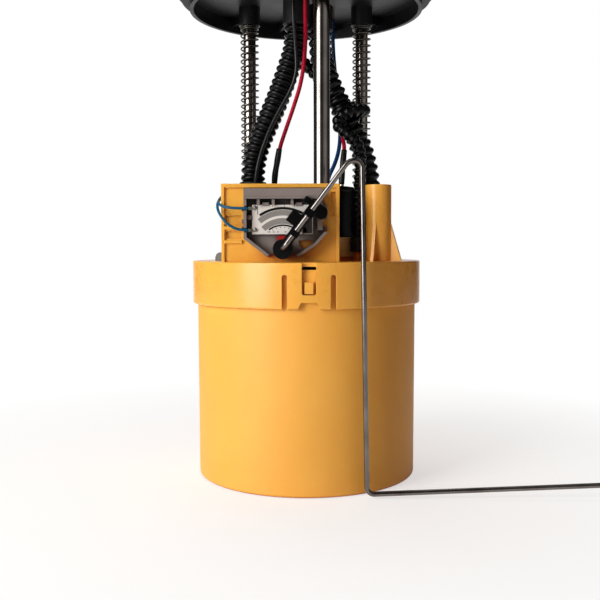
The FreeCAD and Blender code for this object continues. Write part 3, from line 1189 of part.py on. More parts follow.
def float_push_nut():
    front = float_front() + FLOAT_LENGTH + SEAT_GAP
    nut = cylinder_y(PUSH_NUT_R, front, front + PUSH_NUT_THICK, FLOAT_AXIS_AT)
    return nut.cut(cylinder_y(FLOAT_WIRE_R + SNUG_GAP, front - 1, front + 2, FLOAT_AXIS_AT))


def flange_plate():
    """The tank flange: rim, locating neck, crown, rod sockets and the two open connector shells."""
    inner = NECK_R - NECK_WALL
    plate = turned([(0, FLANGE_UNDERSIDE), (inner, FLANGE_UNDERSIDE), (inner, FLANGE_UNDERSIDE - NECK_DROP),
                    (NECK_R, FLANGE_UNDERSIDE - NECK_DROP), (NECK_R, FLANGE_UNDERSIDE - SEAL_THICK),
                    (NECK_R + SEAL_SHOULDER, FLANGE_UNDERSIDE - SEAL_THICK), (NECK_R + SEAL_SHOULDER, FLANGE_UNDERSIDE),
                    (FLANGE_R, FLANGE_UNDERSIDE), (FLANGE_R, FLANGE_TOP - 0.8), (FLANGE_R - 0.8, FLANGE_TOP),
                    (CROWN_R + CROWN_HEIGHT, FLANGE_TOP), (CROWN_R, CROWN_TOP), (0, CROWN_TOP)])
    tab = block(FLANGE_R - 2, FLANGE_R + FLANGE_TAB_REACH, -FLANGE_TAB_WIDTH / 2, FLANGE_TAB_WIDTH / 2,
                FLANGE_UNDERSIDE, FLANGE_TOP - 1)
    for k in range(FLANGE_TABS):
        plate = plate.fuse(turn(tab, 90 + 360.0 / FLANGE_TABS * k))
    rib = block(FLANGE_RIB_START, inner + 0.5, -FLANGE_RIB_THICK / 2, FLANGE_RIB_THICK / 2,
                FLANGE_UNDERSIDE - FLANGE_RIB_DEPTH, FLANGE_UNDERSIDE + 0.5)
    for angle in FLANGE_RIB_ANGLES:
        plate = plate.fuse(turn(rib, angle))
    for at, radius in rods():
        plate = plate.fuse(cylinder(radius + ROD_SOCKET_WALL, ROD_SOCKET_BOTTOM, FLANGE_UNDERSIDE + 0.5, at))
    for x, y in SOCKET_AT:
        half_x, half_y = SOCKET_SIZE[0] / 2, SOCKET_SIZE[1] / 2
        shell = block(x - half_x, x + half_x, y - half_y, y + half_y, CROWN_TOP - 0.5, CROWN_TOP + SOCKET_HEIGHT)
        shell = shell.makeFillet(2.0, [e for e in shell.Edges if e.BoundBox.ZLength > 1])
        hollow = block(x - half_x + SOCKET_WALL, x + half_x - SOCKET_WALL, y - half_y + SOCKET_WALL,
                       y + half_y - SOCKET_WALL, CROWN_TOP, CROWN_TOP + SOCKET_HEIGHT + 1)
        plate = plate.fuse(shell).fuse(socket_latch(x, y, math.copysign(half_y, y))).cut(hollow)
        for dx in PIN_OFFSETS:
            plate = plate.cut(cylinder(PIN_R + SNUG_GAP, PIN_BOTTOM - 1, CROWN_TOP + 1, (x + dx, y + PIN_BACK)))
    for at, radius in rods():
        plate = plate.cut(cylinder(radius + SNUG_GAP, ROD_SOCKET_BOTTOM - 1, ROD_TOP, at))
    for at, radius, bore in stubs():
        plate = plate.cut(cylinder(radius + SNUG_GAP, FLANGE_UNDERSIDE - 1, CROWN_TOP + 1, at))
    return plate.removeSplitter()


def socket_latch(x, y, half_y):
    """The wedge on a connector shell's outer side, which holds the plug's clip."""
    top = CROWN_TOP + SOCKET_HEIGHT
    high, low = top - SOCKET_LATCH_DROP[0], top - SOCKET_LATCH_DROP[1]
    face = y + half_y
    out = face + math.copysign(SOCKET_LATCH_DEPTH, half_y)
    inside = face - math.copysign(SOCKET_WALL / 2, half_y)
    wedge = Part.Face(Part.makePolygon([V(x - SOCKET_LATCH_WIDTH / 2, side, z) for side, z in (
        (inside, high), (face, high), (out, low), (inside, low), (inside, high))]))
    return wedge.extrude(V(SOCKET_LATCH_WIDTH, 0, 0))


def rods():
    return [(FRONT_ROD_AT, FRONT_ROD_R)] + [(at, REAR_ROD_R) for at in REAR_ROD_AT]


def stubs():
    return [(FEED_STUB_AT, STUB_R, STUB_BORE_R), (RETURN_STUB_AT, STUB_R, STUB_BORE_R),
            (BLEED_STUB_AT, BLEED_STUB_R, BLEED_STUB_BORE_R)]


def stub(at, radius, bore):
    """A tube through the flange: hose nipple below, collar on the crown, beaded coupling end above."""
    top = CROWN_TOP + STUB_HEIGHT
    bead = top - 9.0
    nipple = min(radius, NIPPLE_R_BELOW[radius])
    return turned([(bore, STUB_BOTTOM), (nipple, STUB_BOTTOM), (nipple, FLANGE_UNDERSIDE - 1.5),
                   (radius, FLANGE_UNDERSIDE - 1.5), (radius, CROWN_TOP), (radius + STUB_COLLAR, CROWN_TOP),
                   (radius + STUB_COLLAR, CROWN_TOP + 1.6), (radius, CROWN_TOP + 1.6), (radius, bead - 1.2),
                   (radius + STUB_BEAD, bead - 0.8), (radius + STUB_BEAD, bead), (radius, bead + 0.8),
                   (radius, top - 0.8), (radius - 0.6, top), (bore, top)], at)


NIPPLE_R_BELOW = {STUB_R: STUB_R, BLEED_STUB_R: BLEED_NIPPLE_R}


def connector_pins():
    pins = [cylinder(PIN_R, PIN_BOTTOM, CROWN_TOP + PIN_HEIGHT, (x + dx, y + PIN_BACK))
            for x, y in SOCKET_AT for dx in PIN_OFFSETS]
    return group(pins)


def flange_seal():
    """The square ring of rubber around the neck's shoulder."""
    inner = NECK_R + SEAL_SHOULDER + SNUG_GAP
    return tube(inner + SEAL_WIDTH, inner, FLANGE_UNDERSIDE - SEAL_THICK, FLANGE_UNDERSIDE)


def cuff(at, outer, nipple_r, mouth, end, overlap):
    """A rubber hose end: open over the nipple at its mouth, closed where the hose begins."""
    low, high = min(mouth, end), max(mouth, end)
    body = cylinder(outer, low, high, at)
    body = body.makeChamfer(0.5, [e for e in body.Edges if e.BoundBox.ZLength < 0.01])
    inner_end = mouth + overlap if end > mouth else mouth - overlap
    return body.cut(cylinder(nipple_r + SNUG_GAP, min(mouth, inner_end), max(mouth, inner_end), at))


def lower_hose_cuffs():
    return group([
        cuff(FEED_NIPPLE_AT, CUFF_R, ELBOW_R, ELBOW_NIPPLE_TOP - CUFF_OVER_NIPPLE, FEED_HOSE_FOOT, CUFF_OVER_NIPPLE),
        cuff(RETURN_NIPPLE_AT, CUFF_R, ELBOW_R, RETURN_NIPPLE_TOP - CUFF_OVER_NIPPLE, RETURN_HOSE_FOOT,
             CUFF_OVER_NIPPLE),
        cuff(BLEED_NIPPLE_AT, BLEED_CUFF_R, BLEED_NIPPLE_R, BLEED_NIPPLE_TOP - BLEED_CUFF_OVER_NIPPLE,
             BLEED_HOSE_FOOT, BLEED_CUFF_OVER_NIPPLE)])


def upper_hose_cuffs():
    mouth = FLANGE_UNDERSIDE - CUFF_TO_FLANGE
    return group([cuff(at, outer, NIPPLE_R_BELOW[radius], mouth, end, mouth - STUB_BOTTOM)
                  for (at, radius, bore), end, outer in zip(stubs(), (HOSE_HEAD, HOSE_HEAD, STUB_BOTTOM),
                                                            (CUFF_R, CUFF_R, BLEED_CUFF_R))])


def sender_plug():
    """The plug behind the bracket that joins the sender's wires to the ground wire."""
    x, z = PLUG_AT
    width, depth, height = PLUG_SIZE
    front = BRACKET_FRONT + BRACKET_WALL
    body = block(x - width / 2, x + width / 2, front, front + depth, z - height / 2, z + height / 2)
    return body.makeChamfer(0.6, [e for e in body.Edges if e.BoundBox.ZLength > 1])


def sleeve_route(route):
    """A sleeve's route, moved with the terminal that it stands on."""
    by = TERMINAL_TOP + 2 * RUN_GAP - route[0][2]
    return hung(route, route[0][2] + by, route[-1][2] + by)


def wire_sleeves():
    return group([cord("front sleeve", sleeve_route(RED_FRONT_SLEEVE), SLEEVE_R),
                  cord("rear sleeve", sleeve_route(RED_REAR_SLEEVE), SLEEVE_R)])


def supply_wires():
    """The two red wires, each from its sleeve's end to the pins."""
    wires = []
    for name, route, sleeve in (("front red wire", RED_FRONT_ROUTE, RED_FRONT_SLEEVE),
                                ("rear red wire", RED_REAR_ROUTE, RED_REAR_SLEEVE)):
        foot = sleeve_route(sleeve)[-1][2] + route[0][2] - sleeve[-1][2]
        wires.append(cord(name, hung(route, foot, WIRE_HEAD), WIRE_R))
    return group(wires)


def return_wires():
    return group([cord("front black wire", hung(BLACK_FRONT_ROUTE, PLUG_TOP + 2 * RUN_GAP, WIRE_HEAD), WIRE_R),
                  cord("rear blue wire", hung(BLUE_REAR_ROUTE, TERMINAL_TOP + 2 * RUN_GAP, WIRE_HEAD), WIRE_R)])


def sender_wires():
    return group([cord("sender wire", route, SENDER_WIRE_R) for route in sender_routes()])


NODES = {
    "reservoir_bucket": reservoir_bucket,
    "reservoir_cap": reservoir_cap,
    "vent_valve": vent_valve,
    "pump_holder_ring": pump_holder_ring,
    "pump_isolator": pump_isolator,
    "pump_top_cover": pump_top_cover,
    "pump_terminals": pump_terminals,
    "pump_can": pump_can,
    "pump_inlet_cover": pump_inlet_cover,
    "pump_chamber": pump_chamber,
    "pump_end_cap": pump_end_cap,
    "impeller": impeller,
    "lower_bearing": lower_bearing,
    "upper_bearing": upper_bearing,
    "armature_shaft": armature_shaft,
    "armature_core": armature_core,
    "armature_windings": armature_windings,
    "commutator": commutator,
    "magnets": magnets,
    "brushes": brushes,
    "brush_springs": brush_springs,
    "outlet_valve_poppet": outlet_valve_poppet,
    "outlet_valve_spring": outlet_valve_spring,
    "outlet_valve_stop": outlet_valve_stop,
    "inlet_strainer": inlet_strainer,
    "foot_valve_disc": foot_valve_disc,
    "foot_valve_cage": foot_valve_cage,
    "jet_pump_tube": jet_pump_tube,
    "jet_pump_nozzle": jet_pump_nozzle,
    "rod_bushes": rod_bushes,
    "sender_carrier": sender_carrier,
    "resistor_card": resistor_card,
    "sender_terminals": sender_terminals,
    "pivot_bush": pivot_bush,
    "sender_plug": sender_plug,
    "sender_wires": sender_wires,
    "lower_hose_cuffs": lower_hose_cuffs,
    "wiper_arm": wiper_arm,
    "wiper_contacts": wiper_contacts,
    "float_wire": float_wire,
    "float": float_body,
    "float_push_nut": float_push_nut,
    "flange_plate": flange_plate,
    "flange_seal": flange_seal,
    "feed_stub": lambda: stub(*stubs()[0]),
    "return_stub": lambda: stub(*stubs()[1]),
    "bleed_stub": lambda: stub(*stubs()[2]),
    "connector_pins": connector_pins,
    "front_guide_rod": front_guide_rod,
    "rear_guide_rods": rear_guide_rods,
    "rod_clips": rod_clips,
    "upper_hose_cuffs": upper_hose_cuffs,
    "left_spring": lambda: coil_spring(REAR_ROD_AT[0]),
    "right_spring": lambda: coil_spring(REAR_ROD_AT[1]),
    "feed_hose": lambda: cord("feed hose", hung(FEED_HOSE_ROUTE, FEED_HOSE_FOOT, HOSE_HEAD), HOSE_R),
    "return_hose": lambda: cord("return hose", hung(RETURN_HOSE_ROUTE, RETURN_HOSE_FOOT, HOSE_HEAD), HOSE_R),
    "bleed_hose": lambda: cord("bleed hose", hung(BLEED_HOSE_ROUTE, BLEED_HOSE_FOOT, STUB_BOTTOM), BLEED_HOSE_R),
    "supply_wires": supply_wires,
    "return_wires": return_wires,
    "wire_sleeves": wire_sleeves,
}

os.makedirs("parts", exist_ok=True)
for node, make in NODES.items():
    shape = make()
    print(f"{node}: {len(shape.Solids)} solids, valid {shape.isValid()}, volume {shape.Volume:.1f}")
    shape.exportStep(f"parts/{node}.step")
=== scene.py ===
"""Looks of the fuel lift pump.

Materials, coil springs, corrugated hoses, wires, the level sender's printed card and the stage.
"""

import math

import bmesh
import bpy
from mathutils import Matrix, Vector


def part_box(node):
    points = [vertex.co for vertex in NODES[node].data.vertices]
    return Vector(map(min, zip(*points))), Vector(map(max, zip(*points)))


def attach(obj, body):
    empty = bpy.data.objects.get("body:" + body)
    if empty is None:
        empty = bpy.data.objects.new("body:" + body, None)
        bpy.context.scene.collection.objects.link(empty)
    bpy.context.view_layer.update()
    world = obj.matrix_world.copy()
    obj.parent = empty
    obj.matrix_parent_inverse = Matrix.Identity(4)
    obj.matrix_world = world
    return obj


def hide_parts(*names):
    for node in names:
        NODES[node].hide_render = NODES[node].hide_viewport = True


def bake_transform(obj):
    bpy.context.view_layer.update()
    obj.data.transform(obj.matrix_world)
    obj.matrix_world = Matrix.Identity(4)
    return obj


bl_info = {
    "name": "Fuel lift pump",
    "version": (1, 0, 0),
    "blender": (4, 5, 0),
    "location": "View3D > Sidebar > Fuel pump",
    "description": "Dresses the packed fuel lift pump with materials, springs, hoses and wires",
    "category": "Object",
}

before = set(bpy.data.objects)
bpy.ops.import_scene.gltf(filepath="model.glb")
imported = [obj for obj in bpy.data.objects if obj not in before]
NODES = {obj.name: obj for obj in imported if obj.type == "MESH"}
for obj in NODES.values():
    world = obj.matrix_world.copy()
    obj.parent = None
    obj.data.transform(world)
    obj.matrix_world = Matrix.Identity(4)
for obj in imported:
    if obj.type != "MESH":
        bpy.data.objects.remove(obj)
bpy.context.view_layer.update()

MM = 0.001

# Routes of the hoses and wires, in millimetres
FEED_HOSE_ROUTE = (
    (-27.1, -20.0, 152.3), (-27.1, -20.0, 160.0), (-24.4, -17.9, 171.5), (-19.4, -15.0, 183.5),
    (-14.0, -10.5, 197.0), (-9.2, -7.6, 211.0), (-5.0, -6.0, 224.0), (-5.0, -6.0, 233.9))
RETURN_HOSE_ROUTE = (
    (33.8, 4.0, 142.0), (33.8, 4.0, 151.0), (32.4, 3.1, 162.0), (28.8, 1.5, 174.0),
    (22.2, -0.4, 186.0), (15.6, -2.0, 198.0), (10.4, -0.6, 210.0), (7.5, 6.0, 223.0),
    (7.5, 6.0, 233.9))
BLEED_HOSE_ROUTE = (
    (26.3, -19.2, 125.0), (26.3, -19.2, 132.0), (26.8, -18.4, 147.0), (27.6, -16.4, 158.0),
    (27.8, -14.6, 166.5), (26.0, -13.8, 173.0), (21.0, -13.4, 177.6), (16.6, -12.4, 180.6),
    (16.0, -10.8, 184.2), (18.8, -10.3, 187.6), (23.6, -10.6, 189.4), (28.2, -9.0, 190.2),
    (31.0, -4.0, 190.8), (30.2, 2.8, 191.6), (25.6, 8.6, 193.6), (18.0, 11.6, 199.0),
    (8.0, 12.0, 209.0), (-2.0, 12.4, 220.0), (-7.0, 12.0, 230.0), (-7.0, 12.0, 236.0))
RED_FRONT_ROUTE = (
    (-13.65, -15.0, 169.95), (-11.2, -14.7, 177.4), (-6.6, -14.2, 190.4), (-2.2, -14.8, 204.0),
    (-0.2, -19.4, 220.0), (-0.5, -29.4, 235.0), (-0.5, -29.4, 244.9))
BLACK_FRONT_ROUTE = (
    (-25.3, -36.8, 140.1), (-25.3, -36.8, 145.0), (-25.2, -31.6, 153.5), (-23.5, -29.2, 163.3),
    (-20.2, -27.6, 173.2), (-15.6, -25.4, 184.0), (-4.6, -23.6, 203.0), (-5.2, -24.8, 219.0),
    (-6.5, -29.4, 233.0), (-6.5, -29.4, 244.9))
RED_REAR_ROUTE = (
    (20.05, -4.3, 170.2), (20.0, -2.4, 173.5), (19.4, 3.5, 178.0), (20.6, 9.8, 183.5),
    (20.0, 13.4, 190.0), (16.8, 16.8, 202.0), (12.0, 21.0, 217.0), (9.0, 23.6, 231.0),
    (9.0, 23.6, 244.9))
BLUE_REAR_ROUTE = (
    (10.8, -12.0, 152.1), (11.4, -12.0, 155.6), (15.2, -7.4, 163.0), (17.8, 0.6, 172.0),
    (18.6, 9.6, 183.0), (18.2, 18.0, 198.0), (16.4, 22.0, 214.0), (15.0, 23.6, 231.0),
    (15.0, 23.6, 244.9))
RED_FRONT_SLEEVE = (
    (-16.4, -14.0, 152.1), (-16.2, -14.0, 156.5), (-15.1, -14.5, 162.0), (-13.8, -15.0, 169.7))
RED_REAR_SLEEVE = (
    (18.4, -8.0, 152.1), (18.6, -7.8, 157.0), (19.2, -6.8, 163.6), (20.0, -4.5, 169.9))
BLUE_SENDER_ROUTES = (
    ((-27.9, -48.6, 138.0), (-31.6, -48.8, 138.0), (-36.0, -48.8, 138.2), (-40.0, -47.6, 138.9),
     (-42.6, -44.0, 140.4), (-42.9, -37.6, 142.8), (-40.0, -32.4, 146.0), (-34.6, -32.2, 147.6),
     (-31.5, -36.4, 145.4), (-31.5, -36.8, 140.1)),
    ((-27.9, -48.6, 127.6), (-32.0, -48.8, 127.7), (-36.4, -49.0, 129.4), (-39.6, -48.8, 132.4),
     (-42.2, -47.2, 136.2), (-43.2, -43.6, 139.6), (-43.2, -36.6, 142.2), (-39.6, -29.8, 145.4),
     (-33.0, -28.4, 147.8), (-28.6, -32.0, 147.8), (-28.4, -36.6, 145.0), (-28.4, -36.8, 140.1)))

# Points that a route's spline gives for each of its control points
SPLINE_STEPS = 24

# Hoses: outer radii in metres, points along one corrugation, and how broad a crest is over its
# groove, where 1 makes them alike
LARGE_HOSE_RADIUS = 0.0062
SMALL_HOSE_RADIUS = 0.0032
POINTS_PER_PITCH = 9
CREST_SHAPE = 0.55

# Wires and sleeves, in metres: distances between points, a sleeve's radius, the depth of its ribs
# with how far their wave turns along it in radians, and its bore
WIRE_STEP = 0.001
FINE_STEP = 0.0008
SLEEVE_RADIUS = 0.0016
SLEEVE_RIB = 0.00012
SLEEVE_RIB_TURN = 14
SLEEVE_BORE = 0.0011

# Springs: points to a turn, close turns at each end of a guide spring and their pitch in wires
TURN_STEPS = 28
CLOSED_TURNS = 1.5
CLOSED_PITCH = 1.02

# The outlet valve's small spring, in metres
VALVE_COIL_RADIUS = 0.0019
VALVE_COIL_WIRE = 0.0004
VALVE_COIL_TURNS = 9
VALVE_COIL_CLOSED_PITCH = 0.00042

# The level sender's pivot in X and Z, its card's face in Y, and the thickness of the prints on
# it with the depth to which they are sunk in it, all in millimetres
PIVOT = (-11.5, 118.6)
CARD_FRONT = -46.9
GLAZE = 0.05
INK = 0.04
THIN_INK = 0.03
SUNK = 0.01
STRIP_STEP_DEGREES = 2.5

# Printed arcs: name, inner and outer radius in millimetres, first and last angle in degrees,
# thickness, and the ink by name
CARD_ARCS = (
    ("outer_glaze_arc", 18.9, 20.1, 124.5, 57, GLAZE, "overglaze"),
    ("outer_resistor_arc", 16.0, 18.7, 130, 48, INK, "cermet"),
    ("outer_silver_arc", 14.7, 16.15, 140, 48, THIN_INK, "silver"),
    ("inner_resistor_arc", 12.0, 14.8, 134, 36, INK, "cermet"),
    ("inner_glaze_arc", 11.0, 11.75, 126, 52, GLAZE, "overglaze"))

# Short marks along the card's lower edge: left end from the pivot and width, in millimetres
EDGE_MARKS = ((-7.4, 1.6), (-4.9, 1.0), (-2.8, 0.8), (0.8, 1.1), (3.0, 0.7))

# Painted shade on the amber acetal and grey nylon where the shape closes in on itself: the shade
# colour that multiplies theirs, how far round it looks in millimetres, and the open share at which
# it is full and gone
AMBER_PAINTED_SHADE = ("#BC3A16", 25.0, 0.06, 0.33)
CARRIER_PAINTED_SHADE = ("#0C0A0A", 5.0, 0.3, 0.66)

# A wave texture of scale 1 has its bands this far apart, in metres
BAND_UNIT = 0.3142

# The floor, in metres: its radius, how far it lies under the object, and where it turns white
FLOOR_RADIUS = 1.2
FLOOR_GAP = 0.0002
FLOOR_FADE = (0.07, 0.3)

# The studio's white and black cards, as degrees round from the front, right positive, and a grey
STUDIO_CARDS = (
    (-180, 1.0), (-155, 1.0), (-150, 0.04), (-84, 0.04), (-78, 1.0), (-23, 1.0), (-14, 0.04),
    (10, 0.04), (30, 0.28), (58, 0.42), (76, 0.2), (90, 0.05), (118, 0.04), (150, 0.05),
    (155, 1.0), (180, 1.0))

# The dim warm light that the studio's walls throw back
ROOM_COLOUR = "#FFBC86"
ROOM_STRENGTH = 0.13

# Lamps: name, place, width and height in metres, and power in watts, all turned to one point
LAMPS = (("key", (-0.68, -0.6, 0.4), (0.46, 0.76), 10.0),
         ("top", (-0.1, 0.3, 0.95), (0.4, 0.4), 2.2))
LAMP_TARGET = (0, 0, 0.11)

# The camera: lens and sensor in millimetres, place in metres, and tip down and roll in degrees
LENS = 50.89
SENSOR = 36.0
CAMERA_PLACE = (-0.003386, -0.4536, 0.120885)
CAMERA_TIP = 3.758
CAMERA_ROLL = 0.127


def linear(hex_colour):
    """An sRGB hex colour as linear RGBA."""
    values = [int(hex_colour[i:i + 2], 16) / 255 for i in (1, 3, 5)]
    return [v / 12.92 if v <= 0.04045 else ((v + 0.055) / 1.055) ** 2.4 for v in values] + [1.0]


def repeats(spacing_mm):
    """How often a pattern of this spacing repeats in a metre."""
    return 1 / (spacing_mm * MM)


def add_node(tree, kind, inputs=None, **settings):
    """Add one node. An input that is a socket is linked, and any other value is set."""
    node = tree.nodes.new(kind)
    for name, value in settings.items():
        setattr(node, name, value)
    for name, value in (inputs or {}).items():
        if isinstance(value, bpy.types.NodeSocket):
            tree.links.new(value, node.inputs[name])
        else:
            node.inputs[name].default_value = value
    return node


def new_material(name):
    """An empty node material, with the object's own coordinates in metres."""
    material = bpy.data.materials.new(name)
    material.use_nodes = True
    tree = material.node_tree
    tree.nodes.clear()
    place = add_node(tree, "ShaderNodeTexCoord").outputs["Object"]
    return material, tree, place


def two_tones(tree, place, light, dark, spot_mm):
    """A slow drift between two colours, with spots of the given size."""
    noise = add_node(tree, "ShaderNodeTexNoise", {
        "Vector": place, "Scale": repeats(spot_mm), "Detail": 3.0})
    ramp = add_node(tree, "ShaderNodeValToRGB", {"Fac": noise.outputs["Fac"]})
    for stop, position, colour in zip(ramp.color_ramp.elements, (0.35, 0.65), (dark, light)):
        stop.position = position
        stop.color = linear(colour)
    return ramp.outputs["Color"]


def grain(tree, place, spacing_mm, depth_mm, soft_edge_mm=0.0):
    """A fine surface grain as a normal. A soft edge rounds corners to that radius for the light."""
    noise = add_node(tree, "ShaderNodeTexNoise", {
        "Vector": place, "Scale": repeats(spacing_mm), "Detail": 2.0})
    bump = add_node(tree, "ShaderNodeBump", {
        "Height": noise.outputs["Fac"], "Distance": depth_mm * MM, "Strength": 1.0})
    if soft_edge_mm:
        rounded = add_node(tree, "ShaderNodeBevel", {"Radius": soft_edge_mm * MM}, samples=4)
        tree.links.new(rounded.outputs["Normal"], bump.inputs["Normal"])
    return bump.outputs["Normal"]


def uneven_gloss(tree, place, smooth, rough, patch_mm):
    """Roughness that wanders between two values, as handling leaves it."""
    noise = add_node(tree, "ShaderNodeTexNoise", {
        "Vector": place, "Scale": repeats(patch_mm), "Detail": 4.0})
    spread = add_node(tree, "ShaderNodeMapRange", {
        "Value": noise.outputs["Fac"], "From Min": 0.3, "From Max": 0.7,
        "To Min": smooth, "To Max": rough})
    return spread.outputs["Result"]


def with_painted_shade(tree, colour, painted_shade, reach_mm, closed, clear):
    """The colour, with painted shade: the shade colour times it where the shape closes in on
    itself.
    """
    open_side = add_node(tree, "ShaderNodeAmbientOcclusion", {"Distance": reach_mm * MM}, samples=8)
    ramp = add_node(tree, "ShaderNodeValToRGB", {"Fac": open_side.outputs["AO"]})
    low, high = ramp.color_ramp.elements
    low.position = closed
    low.color = linear(painted_shade)
    high.position = clear
    both = add_node(tree, "ShaderNodeVectorMath", {0: colour, 1: ramp.outputs["Color"]},
                    operation="MULTIPLY")
    return both.outputs["Vector"]


def moulded_plastic(name, light, dark, ior, gloss, grain_mm, depth_mm, edge_mm=0.25, glow=0.0,
                    shine=0.5, painted_shade=None):
    """A moulding: a drift in tone, a spark-eroded grain, softly rounded edges, and painted shade in
    its corners where a shade is given.
    """
    material, tree, place = new_material(name)
    colour = two_tones(tree, place, light, dark, spot_mm=34.0)
    shader = add_node(tree, "ShaderNodeBsdfPrincipled", {
        "Base Color": with_painted_shade(tree, colour, *painted_shade) if painted_shade else colour,
        "Roughness": uneven_gloss(tree, place, *gloss, patch_mm=18.0),
        "Normal": grain(tree, place, grain_mm, depth_mm, edge_mm),
        "IOR": ior, "Specular IOR Level": shine,
        "Subsurface Weight": glow, "Subsurface Scale": 0.003,
        "Subsurface Radius": (1.0, 0.55, 0.2)})
    add_node(tree, "ShaderNodeOutputMaterial", {"Surface": shader.outputs["BSDF"]})
    return material


def soft_rubber(name, light, dark, roughness, bloom=0.15):
    """Moulded rubber: dull, with a faint bloom that greys its edges."""
    material, tree, place = new_material(name)
    shader = add_node(tree, "ShaderNodeBsdfPrincipled", {
        "Base Color": two_tones(tree, place, light, dark, spot_mm=5.0),
        "Roughness": uneven_gloss(tree, place, roughness - 0.08, roughness + 0.08, patch_mm=4.0),
        "Normal": grain(tree, place, spacing_mm=0.4, depth_mm=0.02, soft_edge_mm=0.3),
        "IOR": 1.52, "Specular IOR Level": 0.25, "Sheen Weight": bloom})
    add_node(tree, "ShaderNodeOutputMaterial", {"Surface": shader.outputs["BSDF"]})
    return material


def worked_metal(name, light, dark, gloss, line_mm, stretch=(1.0, 1.0, 1.0), depth_mm=0.004):
    """A metal with fine lines drawn or ground one way: stretch scales them on X, Y and Z."""
    material, tree, place = new_material(name)
    lines = add_node(tree, "ShaderNodeMapping", {"Vector": place, "Scale": stretch})
    noise = add_node(tree, "ShaderNodeTexNoise", {
        "Vector": lines.outputs["Vector"], "Scale": repeats(line_mm), "Detail": 3.0})
    bump = add_node(tree, "ShaderNodeBump", {
        "Height": noise.outputs["Fac"], "Distance": depth_mm * MM, "Strength": 0.6})
    shader = add_node(tree, "ShaderNodeBsdfPrincipled", {
        "Base Color": two_tones(tree, place, light, dark, spot_mm=12.0),
        "Roughness": uneven_gloss(tree, place, *gloss, patch_mm=6.0),
        "Normal": bump.outputs["Normal"], "Metallic": 1.0})
    add_node(tree, "ShaderNodeOutputMaterial", {"Surface": shader.outputs["BSDF"]})
    return material


def banded(name, light, dark, spacing_mm, direction, depth_mm, roughness, metallic=0.0):
    """Fine parallel bands at a real spacing: woven mesh, wound copper or stacked sheets."""
    material, tree, place = new_material(name)
    wave = add_node(tree, "ShaderNodeTexWave", {
        "Vector": place, "Scale": BAND_UNIT * repeats(spacing_mm), "Distortion": 0.3},
        bands_direction=direction)
    ramp = add_node(tree, "ShaderNodeValToRGB", {"Fac": wave.outputs["Fac"]})
    for stop, colour in zip(ramp.color_ramp.elements, (dark, light)):
        stop.color = linear(colour)
    bump = add_node(tree, "ShaderNodeBump", {
        "Height": wave.outputs["Fac"], "Distance": depth_mm * MM})
    shader = add_node(tree, "ShaderNodeBsdfPrincipled", {
        "Base Color": ramp.outputs["Color"], "Normal": bump.outputs["Normal"],
        "Roughness": roughness, "Metallic": metallic})
    add_node(tree, "ShaderNodeOutputMaterial", {"Surface": shader.outputs["BSDF"]})
    return material


def closed_cell_foam(name, light, dark, cell_mm):
    """Foam: small closed cells that pit a dull surface."""
    material, tree, place = new_material(name)
    cells = add_node(tree, "ShaderNodeTexVoronoi", {"Vector": place, "Scale": repeats(cell_mm)})
    bump = add_node(tree, "ShaderNodeBump", {
        "Height": cells.outputs["Distance"], "Distance": 0.12 * MM})
    shader = add_node(tree, "ShaderNodeBsdfPrincipled", {
        "Base Color": two_tones(tree, place, light, dark, spot_mm=2.0),
        "Normal": bump.outputs["Normal"], "Roughness": 0.85})
    add_node(tree, "ShaderNodeOutputMaterial", {"Surface": shader.outputs["BSDF"]})
    return material


def printed_ink(name, light, dark, ior, gloss, grain_mm, depth_mm):
    """A fired print on the card: thin, with sharp edges."""
    return moulded_plastic(name, light, dark, ior, gloss, grain_mm, depth_mm, edge_mm=0.0)


def insulation(name, light, dark, gloss, shine):
    """A wire's extruded insulation: smooth, with no edges to round."""
    return moulded_plastic(name, light, dark, ior=1.5, gloss=gloss, grain_mm=0.6, depth_mm=0.005,
                           edge_mm=0.0, shine=shine)


def dress(material, *names):
    """Give CAD nodes their material."""
    for name in names:
        mesh = NODES[name].data
        mesh.materials.clear()
        mesh.materials.append(material)


def finished_mesh(name, mesh_maker):
    """The mesh that a mesh maker holds, which is then done with."""
    mesh = bpy.data.meshes.new(name)
    mesh_maker.to_mesh(mesh)
    mesh_maker.free()
    return mesh


def add_piece(name, mesh, material, body=None):
    """Link a new mesh object, with its material, to the scene and to the body that it rides on."""
    mesh.materials.append(material)
    piece = bpy.data.objects.new(name, mesh)
    bpy.context.scene.collection.objects.link(piece)
    if body:
        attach(piece, body)
    return piece


def flowing_line(route):
    """The smooth line that a hose or wire takes past its route's points, as points in metres."""
    curve = bpy.data.curves.new("route", "CURVE")
    curve.dimensions = "3D"
    spline = curve.splines.new("NURBS")
    spline.points.add(len(route) - 1)
    for point, (x, y, z) in zip(spline.points, route):
        point.co = (x * MM, y * MM, z * MM, 1.0)
    spline.order_u = 3
    spline.use_endpoint_u = True
    spline.resolution_u = SPLINE_STEPS
    holder = bpy.data.objects.new("route", curve)
    bpy.context.scene.collection.objects.link(holder)
    bpy.context.view_layer.update()
    mesh = bpy.data.meshes.new_from_object(holder)
    line = [v.co.copy() for v in mesh.vertices]
    bpy.data.objects.remove(holder)
    bpy.data.curves.remove(curve)
    bpy.data.meshes.remove(mesh)
    return line


def even_steps(line, step):
    """The same line with points a fixed step apart, and its length."""
    lengths = [0.0]
    for a, b in zip(line, line[1:]):
        lengths.append(lengths[-1] + (b - a).length)
    count = max(2, round(lengths[-1] / step))
    points = []
    k = 0
    for i in range(count + 1):
        target = lengths[-1] * i / count
        while k < len(line) - 2 and lengths[k + 1] < target:
            k += 1
        span = lengths[k + 1] - lengths[k]
        points.append(line[k].lerp(line[k + 1], (target - lengths[k]) / span if span else 0.0))
    return points, lengths[-1]


